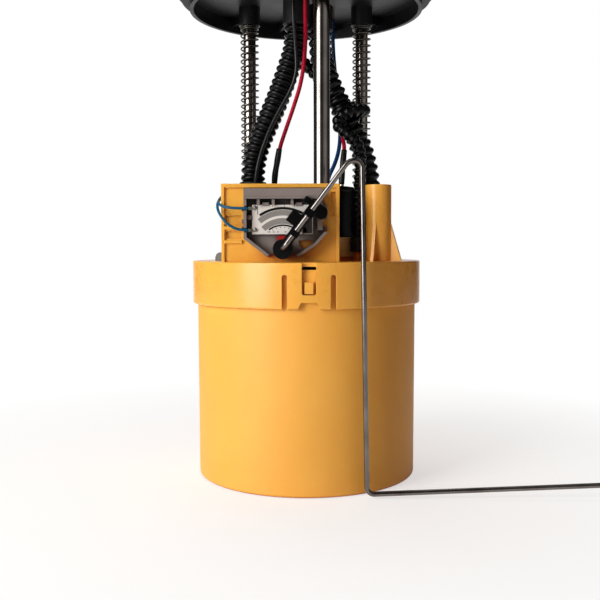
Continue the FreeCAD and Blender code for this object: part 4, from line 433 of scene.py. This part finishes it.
def tube_mesh(name, points, radii, sides, bore=None):
    """A tube around a line, with a radius for each point. A bore opens its ends and lines it."""
    mesh_maker = bmesh.new()
    last = len(points) - 1
    tangents = [(points[min(i + 1, last)] - points[max(i - 1, 0)]).normalized()
                for i in range(last + 1)]
    angles = [2 * math.pi * k / sides for k in range(sides)]
    side = tangents[0].orthogonal().normalized()
    rings = []
    for i, point in enumerate(points):
        if i:
            turn = tangents[i - 1].rotation_difference(tangents[i])
            side = (turn @ side).normalized()
        across = tangents[i].cross(side)
        rings.append([[mesh_maker.verts.new(point + (side * math.cos(a) + across * math.sin(a)) * r)
                       for a in angles]
                      for r in ((radii[i], bore) if bore else (radii[i],))])
    for before, after in zip(rings, rings[1:]):
        for skin, (low, high) in enumerate(zip(before, after)):
            for k in range(sides):
                corners = (low[k], low[(k + 1) % sides], high[(k + 1) % sides], high[k])
                mesh_maker.faces.new(corners if skin == 0 else corners[::-1])
    if bore:
        for end, (outer, inner) in enumerate((rings[0], rings[-1])):
            for k in range(sides):
                corners = (outer[k], inner[k], inner[(k + 1) % sides], outer[(k + 1) % sides])
                mesh_maker.faces.new(corners if end == 0 else corners[::-1])
    else:
        mesh_maker.faces.new(rings[0][0][::-1])
        mesh_maker.faces.new(rings[-1][0])
    bmesh.ops.recalc_face_normals(mesh_maker, faces=mesh_maker.faces)
    mesh = finished_mesh(name, mesh_maker)
    mesh.polygons.foreach_set("use_smooth", [len(p.vertices) == 4 for p in mesh.polygons])
    return mesh


def coil_line(centre, radius, low, high, turns, closed_turns, closed_pitch):
    """The helix of a compression spring: close end turns and an even pitch between them."""
    points = []
    for i in range(int(turns * TURN_STEPS) + 1):
        turn = i / TURN_STEPS
        if turn < closed_turns:
            rise = turn * closed_pitch
        elif turn > turns - closed_turns:
            rise = (high - low) - (turns - turn) * closed_pitch
        else:
            share = (turn - closed_turns) / (turns - 2 * closed_turns)
            closed = closed_turns * closed_pitch
            rise = closed + share * ((high - low) - 2 * closed)
        angle = 2 * math.pi * turn
        points.append(Vector((centre[0] + radius * math.cos(angle),
                              centre[1] + radius * math.sin(angle), low + rise)))
    return points


def card_strip(name, inner, outer, start, end, lift, material):
    """A flat printed strip on the card: an arc about the pivot, a print's thickness proud."""
    mesh_maker = bmesh.new()
    front = (CARD_FRONT - lift) * MM
    back = (CARD_FRONT + SUNK) * MM
    count = max(2, int(abs(end - start) / STRIP_STEP_DEGREES))
    columns = []
    for i in range(count + 1):
        angle = math.radians(start + (end - start) * i / count)
        columns.append([mesh_maker.verts.new(((PIVOT[0] + r * math.cos(angle)) * MM, y,
                                              (PIVOT[1] + r * math.sin(angle)) * MM))
                        for r, y in ((inner, front), (outer, front), (outer, back), (inner, back))])
    for before, after in zip(columns, columns[1:]):
        for k in range(4):
            mesh_maker.faces.new((before[k], before[(k + 1) % 4], after[(k + 1) % 4], after[k]))
    mesh_maker.faces.new(columns[0][::-1])
    mesh_maker.faces.new(columns[-1])
    bmesh.ops.recalc_face_normals(mesh_maker, faces=mesh_maker.faces)
    return add_piece(name, finished_mesh(name, mesh_maker), material, "reservoir")


def card_patch(name, left, right, low, high, lift, material):
    """A flat printed rectangle on the card, with its edges in millimetres from the pivot."""
    mesh_maker = bmesh.new()
    bmesh.ops.create_cube(mesh_maker, size=1.0)
    bmesh.ops.scale(mesh_maker, verts=mesh_maker.verts,
                    vec=((right - left) * MM, (lift + SUNK) * MM, (high - low) * MM))
    bmesh.ops.translate(mesh_maker, verts=mesh_maker.verts,
                        vec=((PIVOT[0] + (left + right) / 2) * MM,
                             (CARD_FRONT + (SUNK - lift) / 2) * MM,
                             (PIVOT[1] + (low + high) / 2) * MM))
    return add_piece(name, finished_mesh(name, mesh_maker), material, "reservoir")


def solder_bead(name, x, z, material):
    """A low, uneven bead of solder where a terminal's finger meets its pad."""
    radius, flatness, lift, unevenness = 0.95, 0.5, 0.4, 0.12
    mesh_maker = bmesh.new()
    bmesh.ops.create_uvsphere(mesh_maker, u_segments=20, v_segments=12, radius=radius * MM)
    for v in mesh_maker.verts:
        lump = 1 + unevenness * math.sin(3 * v.co.x / MM + 2 * v.co.z / MM)
        v.co = Vector(((PIVOT[0] + x) * MM + v.co.x * lump,
                       (CARD_FRONT - lift) * MM + v.co.y * flatness,
                       (PIVOT[1] + z) * MM + v.co.z * lump))
    mesh = finished_mesh(name, mesh_maker)
    mesh.polygons.foreach_set("use_smooth", [True] * len(mesh.polygons))
    return add_piece(name, mesh, material, "reservoir")


class PumpColours(bpy.types.PropertyGroup):
    """Colours of the pump's finishes, as sRGB hex."""
    acetal: bpy.props.StringProperty(
        name="Amber acetal", description="Bucket and cap", default="#F3B44C")
    acetal_deep: bpy.props.StringProperty(
        name="Deep amber", description="The darker drift in the acetal", default="#F0AF47")
    ring: bpy.props.StringProperty(
        name="Ivory acetal", description="Pump holder ring", default="#D8CFAE")
    carrier: bpy.props.StringProperty(
        name="Grey nylon", description="Level sender carrier", default="#857A76")
    bush: bpy.props.StringProperty(
        name="Red acetal", description="Pivot bush", default="#A81C18")
    red_wire: bpy.props.StringProperty(
        name="Red insulation", description="Supply wires", default="#A60026")
    blue_wire: bpy.props.StringProperty(
        name="Blue insulation", description="Sender wires", default="#005B7E")
    black: bpy.props.StringProperty(
        name="Black nylon", description="Pump covers, valves, bushes and plug", default="#070707")


class PumpSizes(bpy.types.PropertyGroup):
    """Sizes of the details that the scene adds."""
    spring_wire: bpy.props.FloatProperty(
        name="Spring wire", description="Diameter of the spring wire",
        default=0.0009, unit="LENGTH")
    spring_radius: bpy.props.FloatProperty(
        name="Spring radius", description="Outer radius of the coil springs",
        default=0.0051, unit="LENGTH")
    spring_pitch: bpy.props.FloatProperty(
        name="Spring pitch", description="Distance between two turns",
        default=0.00348, unit="LENGTH")
    feed_pitch: bpy.props.FloatProperty(
        name="Feed hose pitch", description="Distance between two corrugations",
        default=0.0037, unit="LENGTH")
    return_pitch: bpy.props.FloatProperty(
        name="Return hose pitch", description="Distance between two corrugations",
        default=0.0042, unit="LENGTH")
    small_hose_pitch: bpy.props.FloatProperty(
        name="Small hose pitch", description="Distance between two small corrugations",
        default=0.0035, unit="LENGTH")
    plain_foot: bpy.props.FloatProperty(
        name="Plain foot", description="Smooth run at the small hose's foot",
        default=0.0145, unit="LENGTH")
    hose_depth: bpy.props.FloatProperty(
        name="Corrugation depth", description="Depth of the large corrugations",
        default=0.0017, unit="LENGTH")
    wire_radius: bpy.props.FloatProperty(
        name="Wire radius", description="Radius of the insulated wires",
        default=0.00105, unit="LENGTH")
    sender_wire_radius: bpy.props.FloatProperty(
        name="Sender wire radius", description="Radius of the level sender's two wires",
        default=0.00065, unit="LENGTH")


class DressMouldings(bpy.types.Operator):
    """Finish the amber bucket and cap, the holder ring, the isolator and the vent valve"""
    bl_idname = "fuel_pump.dress_mouldings"
    bl_label = "Dress mouldings"

    def execute(self, context):
        colours = context.scene.pump_colours
        # Natural acetal copolymer, moulded: waxy, a little light passes under the skin, with
        # painted orange-red shade in its corners and slots
        waxy = {"ior": 1.48, "edge_mm": 0.35, "glow": 0.28, "painted_shade": AMBER_PAINTED_SHADE}
        amber = moulded_plastic("acetal_moulded_amber", colours.acetal, colours.acetal_deep,
                                gloss=(0.25, 0.32), grain_mm=0.5, depth_mm=0.008, **waxy)
        dress(amber, "reservoir_cap")
        # The same acetal off a duller tool, with the same painted shade: the bucket shines less
        # than its cap
        dull = moulded_plastic("acetal_moulded_amber_dull", colours.acetal, colours.acetal_deep,
                               gloss=(0.5, 0.6), grain_mm=0.6, depth_mm=0.012, **waxy)
        dress(dull, "reservoir_bucket")
        # Natural acetal without the amber tint: matt ivory
        ivory = moulded_plastic("acetal_moulded_ivory", colours.ring, "#CFC5A2",
                                ior=1.48, gloss=(0.42, 0.5), grain_mm=0.5, depth_mm=0.012)
        dress(ivory, "pump_holder_ring")
        # Fluorosilicone rubber, moulded: a dull mid grey
        grey = soft_rubber("fluorosilicone_grey", "#74726F", "#686663", roughness=0.6)
        dress(grey, "vent_valve")
        # Nitrile rubber, moulded: near black with a faint grey bloom
        nitrile = soft_rubber("nitrile_black", "#0E0E0F", "#09090A", roughness=0.55, bloom=0.04)
        dress(nitrile, "pump_isolator", "flange_seal", "lower_hose_cuffs", "upper_hose_cuffs",
              "foot_valve_disc")
        return {"FINISHED"}


class DressPump(bpy.types.Operator):
    """Finish the pump: can, covers, turret, motor and valves"""
    bl_idname = "fuel_pump.dress_pump"
    bl_label = "Dress pump"

    def execute(self, context):
        colours = context.scene.pump_colours
        # Glass-filled nylon, moulded: black, with a low satin shine
        nylon = moulded_plastic("nylon_moulded_black", colours.black, "#050505",
                                ior=1.53, gloss=(0.3, 0.4), grain_mm=0.35, depth_mm=0.012,
                                shine=0.2)
        dress(nylon, "pump_top_cover", "pump_end_cap", "outlet_valve_stop", "outlet_valve_poppet",
              "foot_valve_cage", "jet_pump_tube", "jet_pump_nozzle", "rod_bushes", "impeller",
              "sender_plug")
        # Zinc-plated drawn steel: grey with faint upright draw lines
        zinc = worked_metal("zinc_plated_can", "#A9A9A4", "#96968F",
                            gloss=(0.3, 0.42), line_mm=0.6, stretch=(1.0, 1.0, 0.03))
        dress(zinc, "pump_can")
        # Die-cast aluminium: pale, slightly pitted
        cast = worked_metal("die_cast_aluminium", "#B4B5B6", "#9EA0A2",
                            gloss=(0.42, 0.55), line_mm=0.9, depth_mm=0.02)
        dress(cast, "pump_inlet_cover", "pump_chamber")
        # Tin plate on brass: a soft pale metal
        tinned = worked_metal("tinned_brass", "#C9C4B2", "#B5AE98",
                              gloss=(0.22, 0.34), line_mm=0.4, stretch=(1.0, 1.0, 0.2))
        dress(tinned, "pump_terminals", "connector_pins", "sender_terminals", "wiper_contacts")
        # Stacked laminations, 0.5 mm each, seen as fine level lines
        stacked = banded("stacked_laminations", "#6E6E70", "#3C3C3F", spacing_mm=0.5,
                         direction="Z", depth_mm=0.03, roughness=0.45, metallic=1.0)
        dress(stacked, "armature_core")
        # Enamelled copper wire, 0.5 mm, laid side by side
        wound = banded("enamelled_copper", "#B5622F", "#6E3315", spacing_mm=0.5,
                       direction="Z", depth_mm=0.08, roughness=0.35, metallic=0.9)
        dress(wound, "armature_windings")
        # Hard-drawn copper bars: warm, with fine upright lines
        copper = worked_metal("commutator_copper", "#C07A4C", "#A8653A",
                              gloss=(0.25, 0.35), line_mm=0.5, stretch=(1.0, 1.0, 0.05))
        dress(copper, "commutator")
        # Sintered ferrite: charcoal, dull
        ferrite = moulded_plastic("sintered_ferrite", "#3A3A3D", "#323235",
                                  ior=1.6, gloss=(0.5, 0.6), grain_mm=0.6, depth_mm=0.02)
        dress(ferrite, "magnets")
        # Pressed carbon: soft black
        carbon = moulded_plastic("pressed_carbon", "#2A2A2C", "#232325",
                                 ior=1.5, gloss=(0.45, 0.6), grain_mm=0.3, depth_mm=0.02)
        dress(carbon, "brushes", "lower_bearing", "upper_bearing")
        # Woven nylon: its threads are too fine to show, and are drawn coarser, 0.8 mm apart
        woven = banded("woven_strainer", "#D9D8D0", "#A9A89F", spacing_mm=0.8,
                       direction="DIAGONAL", depth_mm=0.12, roughness=0.7)
        dress(woven, "inlet_strainer")
        return {"FINISHED"}


class DressRods(bpy.types.Operator):
    """Finish the guide rods and clips, and wind the guide springs and the valve spring"""
    bl_idname = "fuel_pump.dress_rods"
    bl_label = "Dress rods and wind springs"

    def execute(self, context):
        sizes = context.scene.pump_sizes
        # Centreless-ground steel: bright, with hairlines around the rod
        ground = worked_metal("ground_steel", "#A29A93", "#8E867F",
                              gloss=(0.1, 0.17), line_mm=0.3, stretch=(0.2, 0.2, 1.0))
        dress(ground, "front_guide_rod", "rear_guide_rods", "armature_shaft")
        # Hard-drawn spring wire: dull grey, finely uneven
        drawn = worked_metal("spring_wire", "#68625C", "#544F4A", gloss=(0.26, 0.38), line_mm=0.3)
        dress(drawn, "rod_clips", "brush_springs", "outlet_valve_spring", "float_push_nut")
        wire = sizes.spring_wire
        for node in ("left_spring", "right_spring"):
            low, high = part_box(node)
            centre = ((low[0] + high[0]) / 2, (low[1] + high[1]) / 2)
            bottom = low[2] + wire / 2
            top = high[2] - wire / 2
            ends = 2 * CLOSED_TURNS
            turns = round((top - bottom - ends * wire) / sizes.spring_pitch) + ends
            line = coil_line(centre, sizes.spring_radius - wire / 2, bottom, top, turns,
                             CLOSED_TURNS, wire * CLOSED_PITCH)
            mesh = tube_mesh(node + "_coil", line, [wire / 2] * len(line), sides=8)
            coil = add_piece(node + "_coil", mesh, drawn)
            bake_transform(coil)
            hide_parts(node)
        low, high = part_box("outlet_valve_spring")
        centre = ((low[0] + high[0]) / 2, (low[1] + high[1]) / 2)
        thin = VALVE_COIL_WIRE / 2
        line = coil_line(centre, VALVE_COIL_RADIUS, low[2] + thin, high[2] - thin,
                         VALVE_COIL_TURNS, 1.0, VALVE_COIL_CLOSED_PITCH)
        mesh = tube_mesh("outlet_valve_coil", line, [thin] * len(line), sides=6)
        coil = add_piece("outlet_valve_coil", mesh, drawn)
        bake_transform(coil)
        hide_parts("outlet_valve_spring")
        return {"FINISHED"}


class DressSender(bpy.types.Operator):
    """Finish the level sender and print the tracks on its card"""
    bl_idname = "fuel_pump.dress_sender"
    bl_label = "Dress level sender"

    def execute(self, context):
        colours = context.scene.pump_colours
        # Nylon, moulded in a warm mid grey: dull, fine-grained, with painted near-black shade in
        # its corners
        grey = moulded_plastic("nylon_moulded_grey", colours.carrier, "#7A706C",
                               ior=1.53, gloss=(0.48, 0.58), grain_mm=0.4, depth_mm=0.015,
                               shine=0.3, painted_shade=CARRIER_PAINTED_SHADE)
        dress(grey, "sender_carrier")
        # Acetal, moulded in red: slightly waxy
        red = moulded_plastic("acetal_moulded_red", colours.bush, "#961612",
                              ior=1.48, gloss=(0.3, 0.4), grain_mm=0.4, depth_mm=0.01)
        dress(red, "pivot_bush")
        # Glass-filled nylon off a smoother tool: black with a clean highlight
        arm = moulded_plastic("nylon_moulded_arm", "#060606", "#040404",
                              ior=1.53, gloss=(0.18, 0.26), grain_mm=0.4, depth_mm=0.01, shine=0.3)
        dress(arm, "wiper_arm")
        # Fired alumina: a warm white, dull, with a fine tooth
        alumina = moulded_plastic("fired_alumina", "#DEDAD5", "#D2CDC8",
                                  ior=1.76, gloss=(0.5, 0.6), grain_mm=0.25, depth_mm=0.01,
                                  edge_mm=0.1)
        dress(alumina, "resistor_card")
        # Cermet resistor ink, printed and fired: satin mid grey
        cermet = printed_ink("cermet_ink_grey", "#8C8884", "#7A7672",
                             ior=1.6, gloss=(0.35, 0.5), grain_mm=0.3, depth_mm=0.01)
        # Overglaze, printed and fired: shiny black
        glaze = printed_ink("overglaze_black", "#171718", "#101011",
                            ior=1.55, gloss=(0.2, 0.3), grain_mm=0.5, depth_mm=0.005)
        # Silver-palladium ink, fired matt: nearly white
        silver = printed_ink("silver_conductor", "#E4E0DA", "#DAD6CF",
                             ior=1.6, gloss=(0.35, 0.45), grain_mm=0.2, depth_mm=0.008)
        # Tin solder, gone dull
        solder = worked_metal("solder_tin", "#8E8A86", "#7A7672", gloss=(0.38, 0.5), line_mm=0.4)
        # A satin dark grey print on the card's corner right of the wiper arm: painted shadow of the
        # arm
        painted_shadow_print = printed_ink("painted_shadow_field", "#3B3937", "#302E2D",
                            ior=1.55, gloss=(0.35, 0.45), grain_mm=0.5, depth_mm=0.005)
        inks = {"overglaze": glaze, "cermet": cermet, "silver": silver}
        for name, inner, outer, start, end, lift, ink in CARD_ARCS:
            card_strip(name, inner, outer, start, end, lift, inks[ink])
        for k in range(6):
            angle = 119 - 11 * k
            card_strip(f"trim_mark_{k}", 10.1, 10.5, angle, angle - 2.4, THIN_INK, glaze)
        for k, (left, width) in enumerate(EDGE_MARKS):
            card_patch(f"edge_mark_{k}", left, left + width, 8.05, 8.35, THIN_INK, glaze)
        # Painted shadow of the wiper arm on the card's corner
        card_patch("painted_shadow_field", 9.6, 14.0, 7.5, 16.4, INK, painted_shadow_print)
        card_patch("left_break", -12.15, -11.9, 16.6, 20.9, THIN_INK, glaze)
        for k, at in enumerate((-5.0, 0.8, 5.6)):
            card_patch(f"top_break_{k}", at - 0.1, at + 0.1, 20.0, 21.1, THIN_INK, glaze)
        for k, height in enumerate((19.7, 9.3)):
            card_patch(f"terminal_pad_{k}", -14.5, -12.4, height - 1.1, height + 1.1, INK, silver)
            solder_bead(f"solder_bead_{k}", -13.3, height, solder)
        return {"FINISHED"}


class DressFloatArm(bpy.types.Operator):
    """Finish the bent float wire and the float"""
    bl_idname = "fuel_pump.dress_float_arm"
    bl_label = "Dress float arm"

    def execute(self, context):
        # Stainless wire, drawn and bent: long bright and dark streaks
        stainless = worked_metal("stainless_wire", "#7E7874", "#68625E",
                                 gloss=(0.16, 0.26), line_mm=0.5, stretch=(1.0, 1.0, 0.05))
        dress(stainless, "float_wire")
        # Nitrile foam, moulded: dull black, pitted by its closed cells
        foam = closed_cell_foam("nitrile_foam", "#1B1B1D", "#111112", cell_mm=0.9)
        dress(foam, "float")
        return {"FINISHED"}


class DressFlange(bpy.types.Operator):
    """Finish the tank flange with its stubs and connectors"""
    bl_idname = "fuel_pump.dress_flange"
    bl_label = "Dress tank flange"

    def execute(self, context):
        # Glass-filled acetal, moulded: black, satin, with a coarse grain
        black = moulded_plastic("flange_moulded_black", "#101011", "#0B0B0C",
                                ior=1.5, gloss=(0.4, 0.52), grain_mm=0.6, depth_mm=0.03, shine=0.35)
        dress(black, "flange_plate", "feed_stub", "return_stub", "bleed_stub")
        return {"FINISHED"}


class MakeHoses(bpy.types.Operator):
    """Make the two large corrugated hoses and the small one along their routes"""
    bl_idname = "fuel_pump.make_hoses"
    bl_label = "Make hoses"

    def execute(self, context):
        sizes = context.scene.pump_sizes
        # Extruded and blow-formed nylon: black, with a clear shine on each crest
        nylon = moulded_plastic("nylon_corrugated_black", "#050505", "#030303",
                                ior=1.5, gloss=(0.24, 0.34), grain_mm=0.8, depth_mm=0.01,
                                edge_mm=0.0, shine=0.16)
        # Node, route, radius, pitch and depth of its corrugations, length, and sides
        hoses = (
            ("feed_hose", FEED_HOSE_ROUTE, LARGE_HOSE_RADIUS, sizes.feed_pitch,
             sizes.hose_depth, 0.0868, 24),
            ("return_hose", RETURN_HOSE_ROUTE, LARGE_HOSE_RADIUS, sizes.return_pitch,
             sizes.hose_depth, 0.0988, 24),
            ("bleed_hose", BLEED_HOSE_ROUTE, SMALL_HOSE_RADIUS, sizes.small_hose_pitch,
             sizes.hose_depth / 2, 0.1520, 20))
        for node, route, radius, pitch, depth, length, sides in hoses:
            line, reach = even_steps(flowing_line(route), pitch / POINTS_PER_PITCH)
            last = len(line) - 1
            pitches = max(1, round(reach / pitch))
            radii = []
            for i in range(last + 1):
                crest = 0.5 - 0.5 * math.cos(2 * math.pi * pitches * i / last)
                radii.append(radius - depth * (1 - crest ** CREST_SHAPE))
            if node == "bleed_hose":
                radii = [min(r, radius - depth / 2) if reach * i / last < sizes.plain_foot else r
                         for i, r in enumerate(radii)]
            mesh = tube_mesh(node + "_bellows", line, radii, sides)
            hose = add_piece(node + "_bellows", mesh, nylon)
            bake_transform(hose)
            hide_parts(node)
        return {"FINISHED"}


class MakeWires(bpy.types.Operator):
    """Make the insulated wires and the sleeves on the two red ones"""
    bl_idname = "fuel_pump.make_wires"
    bl_label = "Make wires"

    def execute(self, context):
        colours = context.scene.pump_colours
        sizes = context.scene.pump_sizes
        # Cross-linked polyolefin insulation, extruded: a clean satin colour
        red = insulation("insulation_red", colours.red_wire, "#9C0022",
                         gloss=(0.4, 0.5), shine=0.15)
        blue = insulation("insulation_blue", colours.blue_wire, "#005170",
                          gloss=(0.42, 0.52), shine=0.25)
        deep_blue = insulation("insulation_deep_blue", "#0F3F73", "#0C3663",
                               gloss=(0.42, 0.52), shine=0.25)
        black = insulation("insulation_black", "#0A0A0A", "#060606", gloss=(0.3, 0.4), shine=0.3)
        # Heat-shrink sleeve: black, a little ribbed by the crimp under it
        shrink = soft_rubber("heat_shrink_black", "#0C0C0D", "#080809", roughness=0.4, bloom=0.03)
        sleeves = []
        for name, route in (("front_sleeve", RED_FRONT_SLEEVE), ("rear_sleeve", RED_REAR_SLEEVE)):
            line, _ = even_steps(flowing_line(route), FINE_STEP)
            swell = []
            for i in range(len(line)):
                groove = 0.5 + 0.5 * math.cos(SLEEVE_RIB_TURN * i / len(line))
                swell.append(SLEEVE_RADIUS - SLEEVE_RIB * groove)
            sleeve = add_piece(name, tube_mesh(name, line, swell, 16, bore=SLEEVE_BORE), shrink)
            self.bend(sleeve)
            sleeves.append(sleeve)
        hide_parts("wire_sleeves")
        # Name, route, insulation, length, the node that it replaces and the sleeve on it
        runs = (
            ("red_front_wire", RED_FRONT_SLEEVE[:-1] + RED_FRONT_ROUTE, red, 0.0979,
             "supply_wires", sleeves[0]),
            ("red_rear_wire", RED_REAR_SLEEVE[:-1] + RED_REAR_ROUTE, red, 0.1013,
             "supply_wires", sleeves[1]),
            ("black_front_wire", BLACK_FRONT_ROUTE, black, 0.1115, "return_wires", None),
            ("blue_rear_wire", BLUE_REAR_ROUTE, deep_blue, 0.1041, "return_wires", None))
        radius = sizes.wire_radius
        for name, route, material, length, node, sleeve in runs:
            line, _ = even_steps(flowing_line(route), WIRE_STEP)
            mesh = tube_mesh(name, line, [radius] * len(line), sides=14)
            wire = add_piece(name, mesh, material)
            self.bend(wire)
            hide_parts(node)
        thin = sizes.sender_wire_radius
        for name, route in zip(("sender_wire_upper", "sender_wire_lower"), BLUE_SENDER_ROUTES):
            line, reach = even_steps(flowing_line(route), FINE_STEP)
            mesh = tube_mesh(name, line, [thin] * len(line), sides=14)
            wire = add_piece(name, mesh, blue, "reservoir")
            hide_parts("sender_wires")
        return {"FINISHED"}

    def bend(self, piece):
        """Bake the piece's place into its mesh."""
        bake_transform(piece)


class BuildStage(bpy.types.Operator):
    """Build the pale floor, the soft lamps, the world and the camera"""
    bl_idname = "fuel_pump.build_stage"
    bl_label = "Build stage"

    def execute(self, context):
        self.floor(context)
        self.world(context)
        self.lamps(context)
        self.camera(context)
        return {"FINISHED"}

    def floor(self, context):
        """A pale sheet that keeps the shadow near the object and runs out to plain white."""
        bpy.ops.mesh.primitive_circle_add(vertices=96, radius=FLOOR_RADIUS, fill_type="NGON",
                                          location=(0, 0, -FLOOR_GAP))
        floor = context.object
        floor.name = "floor"
        material, tree, place = new_material("paper_white")
        rays = add_node(tree, "ShaderNodeLightPath")
        seen = add_node(tree, "ShaderNodeMath", {
            0: rays.outputs["Is Camera Ray"], 1: rays.outputs["Is Glossy Ray"]},
            operation="MAXIMUM")
        # Paper: a diffuse sheet that is a little brighter where it is seen or mirrored
        diffuse = add_node(tree, "ShaderNodeBsdfDiffuse", {"Color": linear("#F4F3F0")})
        none = add_node(tree, "ShaderNodeEmission", {"Strength": 0.0})
        lift = add_node(tree, "ShaderNodeEmission", {"Color": (1, 1, 1, 1), "Strength": 0.25})
        raised = add_node(tree, "ShaderNodeMixShader", {
            0: seen.outputs[0], 1: none.outputs[0], 2: lift.outputs[0]})
        paper = add_node(tree, "ShaderNodeAddShader", {0: diffuse.outputs[0], 1: raised.outputs[0]})
        # Plain white takes over from the paper with the distance, where it is seen or mirrored
        white = add_node(tree, "ShaderNodeEmission", {"Color": (1, 1, 1, 1), "Strength": 1.0})
        away = add_node(tree, "ShaderNodeVectorMath", {0: place}, operation="LENGTH")
        fade = add_node(tree, "ShaderNodeMapRange", {
            "Value": away.outputs["Value"], "From Min": FLOOR_FADE[0], "From Max": FLOOR_FADE[1],
            "To Min": 0.5})
        both = add_node(tree, "ShaderNodeMath", {
            0: fade.outputs["Result"], 1: seen.outputs[0]}, operation="MULTIPLY")
        mixed = add_node(tree, "ShaderNodeMixShader", {
            0: both.outputs[0], 1: paper.outputs[0], 2: white.outputs[0]})
        add_node(tree, "ShaderNodeOutputMaterial", {"Surface": mixed.outputs[0]})
        floor.data.materials.append(material)

    def world(self, context):
        """White where it is seen, cards where it is mirrored, and a dim warm light elsewhere."""
        world = bpy.data.worlds.new("studio")
        world.use_nodes = True
        tree = world.node_tree
        tree.nodes.clear()
        way = add_node(tree, "ShaderNodeTexCoord").outputs["Generated"]
        axes = add_node(tree, "ShaderNodeSeparateXYZ", {"Vector": way})
        ahead = add_node(tree, "ShaderNodeMath", {0: axes.outputs["Y"], 1: -1.0},
                         operation="MULTIPLY")
        angle = add_node(tree, "ShaderNodeMath", {0: axes.outputs["X"], 1: ahead.outputs[0]},
                         operation="ARCTAN2")
        share = add_node(tree, "ShaderNodeMapRange", {
            "Value": angle.outputs[0], "From Min": -math.pi, "From Max": math.pi})
        cards = add_node(tree, "ShaderNodeValToRGB", {"Fac": share.outputs["Result"]})
        stops = cards.color_ramp.elements
        for k, (degrees, grey) in enumerate(STUDIO_CARDS):
            position = (degrees + 180) / 360
            stop = stops[k] if k < 2 else stops.new(position)
            stop.position = position
            stop.color = (grey, grey, grey, 1.0)
        rays = add_node(tree, "ShaderNodeLightPath")
        seen = add_node(tree, "ShaderNodeMath", {
            0: rays.outputs["Is Camera Ray"], 1: rays.outputs["Is Transmission Ray"]},
            operation="MAXIMUM")
        room = add_node(tree, "ShaderNodeBackground", {
            "Color": linear(ROOM_COLOUR), "Strength": ROOM_STRENGTH})
        mirrored = add_node(tree, "ShaderNodeBackground", {
            "Color": cards.outputs["Color"], "Strength": 1.0})
        white = add_node(tree, "ShaderNodeBackground", {"Color": (1, 1, 1, 1), "Strength": 1.0})
        cast = add_node(tree, "ShaderNodeMixShader", {
            0: rays.outputs["Is Glossy Ray"], 1: room.outputs[0], 2: mirrored.outputs[0]})
        mixed = add_node(tree, "ShaderNodeMixShader", {
            0: seen.outputs[0], 1: cast.outputs[0], 2: white.outputs[0]})
        add_node(tree, "ShaderNodeOutputWorld", {"Surface": mixed.outputs[0]})
        context.scene.world = world

    def lamps(self, context):
        """A tall key from the left front and a weak square one from above."""
        for name, place, size, energy in LAMPS:
            data = bpy.data.lights.new(name, "AREA")
            data.energy = energy
            data.shape = "RECTANGLE"
            data.size, data.size_y = size
            lamp = bpy.data.objects.new(name, data)
            lamp.location = place
            aim = Vector(LAMP_TARGET) - Vector(place)
            lamp.rotation_euler = aim.to_track_quat("-Z", "Y").to_euler()
            context.scene.collection.objects.link(lamp)

    def camera(self, context):
        """As in the photograph: in front, a little above the cap's level and tipped down."""
        data = bpy.data.cameras.new("camera")
        data.lens = LENS
        data.sensor_width = SENSOR
        data.clip_start = 0.01
        camera = bpy.data.objects.new("camera", data)
        tip = Matrix.Rotation(math.radians(90 - CAMERA_TIP), 4, "X")
        roll = Matrix.Rotation(math.radians(-CAMERA_ROLL), 4, "Z")
        camera.matrix_world = Matrix.Translation(CAMERA_PLACE) @ tip @ roll
        context.scene.collection.objects.link(camera)
        context.scene.camera = camera
        context.scene.view_settings.view_transform = "Standard"


class FuelPumpPanel(bpy.types.Panel):
    """Lists the steps that dress the pump"""
    bl_idname = "FUELPUMP_PT_steps"
    bl_label = "Fuel lift pump"
    bl_space_type = "VIEW_3D"
    bl_region_type = "UI"
    bl_category = "Fuel pump"

    def draw(self, context):
        layout = self.layout
        for step in STEPS:
            layout.operator(step.bl_idname)
        for group in (context.scene.pump_colours, context.scene.pump_sizes):
            box = layout.box()
            for name in group.bl_rna.properties.keys():
                if name not in ("rna_type", "name"):
                    box.prop(group, name)


STEPS = (BuildStage, DressMouldings, DressPump, DressRods, DressSender, DressFloatArm,
         DressFlange, MakeHoses, MakeWires)
CLASSES = (PumpColours, PumpSizes) + STEPS + (FuelPumpPanel,)


def register():
    for item in CLASSES:
        bpy.utils.register_class(item)
    bpy.types.Scene.pump_colours = bpy.props.PointerProperty(type=PumpColours)
    bpy.types.Scene.pump_sizes = bpy.props.PointerProperty(type=PumpSizes)


def unregister():
    del bpy.types.Scene.pump_sizes
    del bpy.types.Scene.pump_colours
    for item in reversed(CLASSES):
        bpy.utils.unregister_class(item)


def main():
    register()
    bpy.ops.fuel_pump.build_stage()
    bpy.ops.fuel_pump.dress_mouldings()
    bpy.ops.fuel_pump.dress_pump()
    bpy.ops.fuel_pump.dress_rods()
    bpy.ops.fuel_pump.dress_sender()
    bpy.ops.fuel_pump.dress_float_arm()
    bpy.ops.fuel_pump.dress_flange()
    bpy.ops.fuel_pump.make_hoses()
    bpy.ops.fuel_pump.make_wires()


if __name__ == "__main__":
    main()
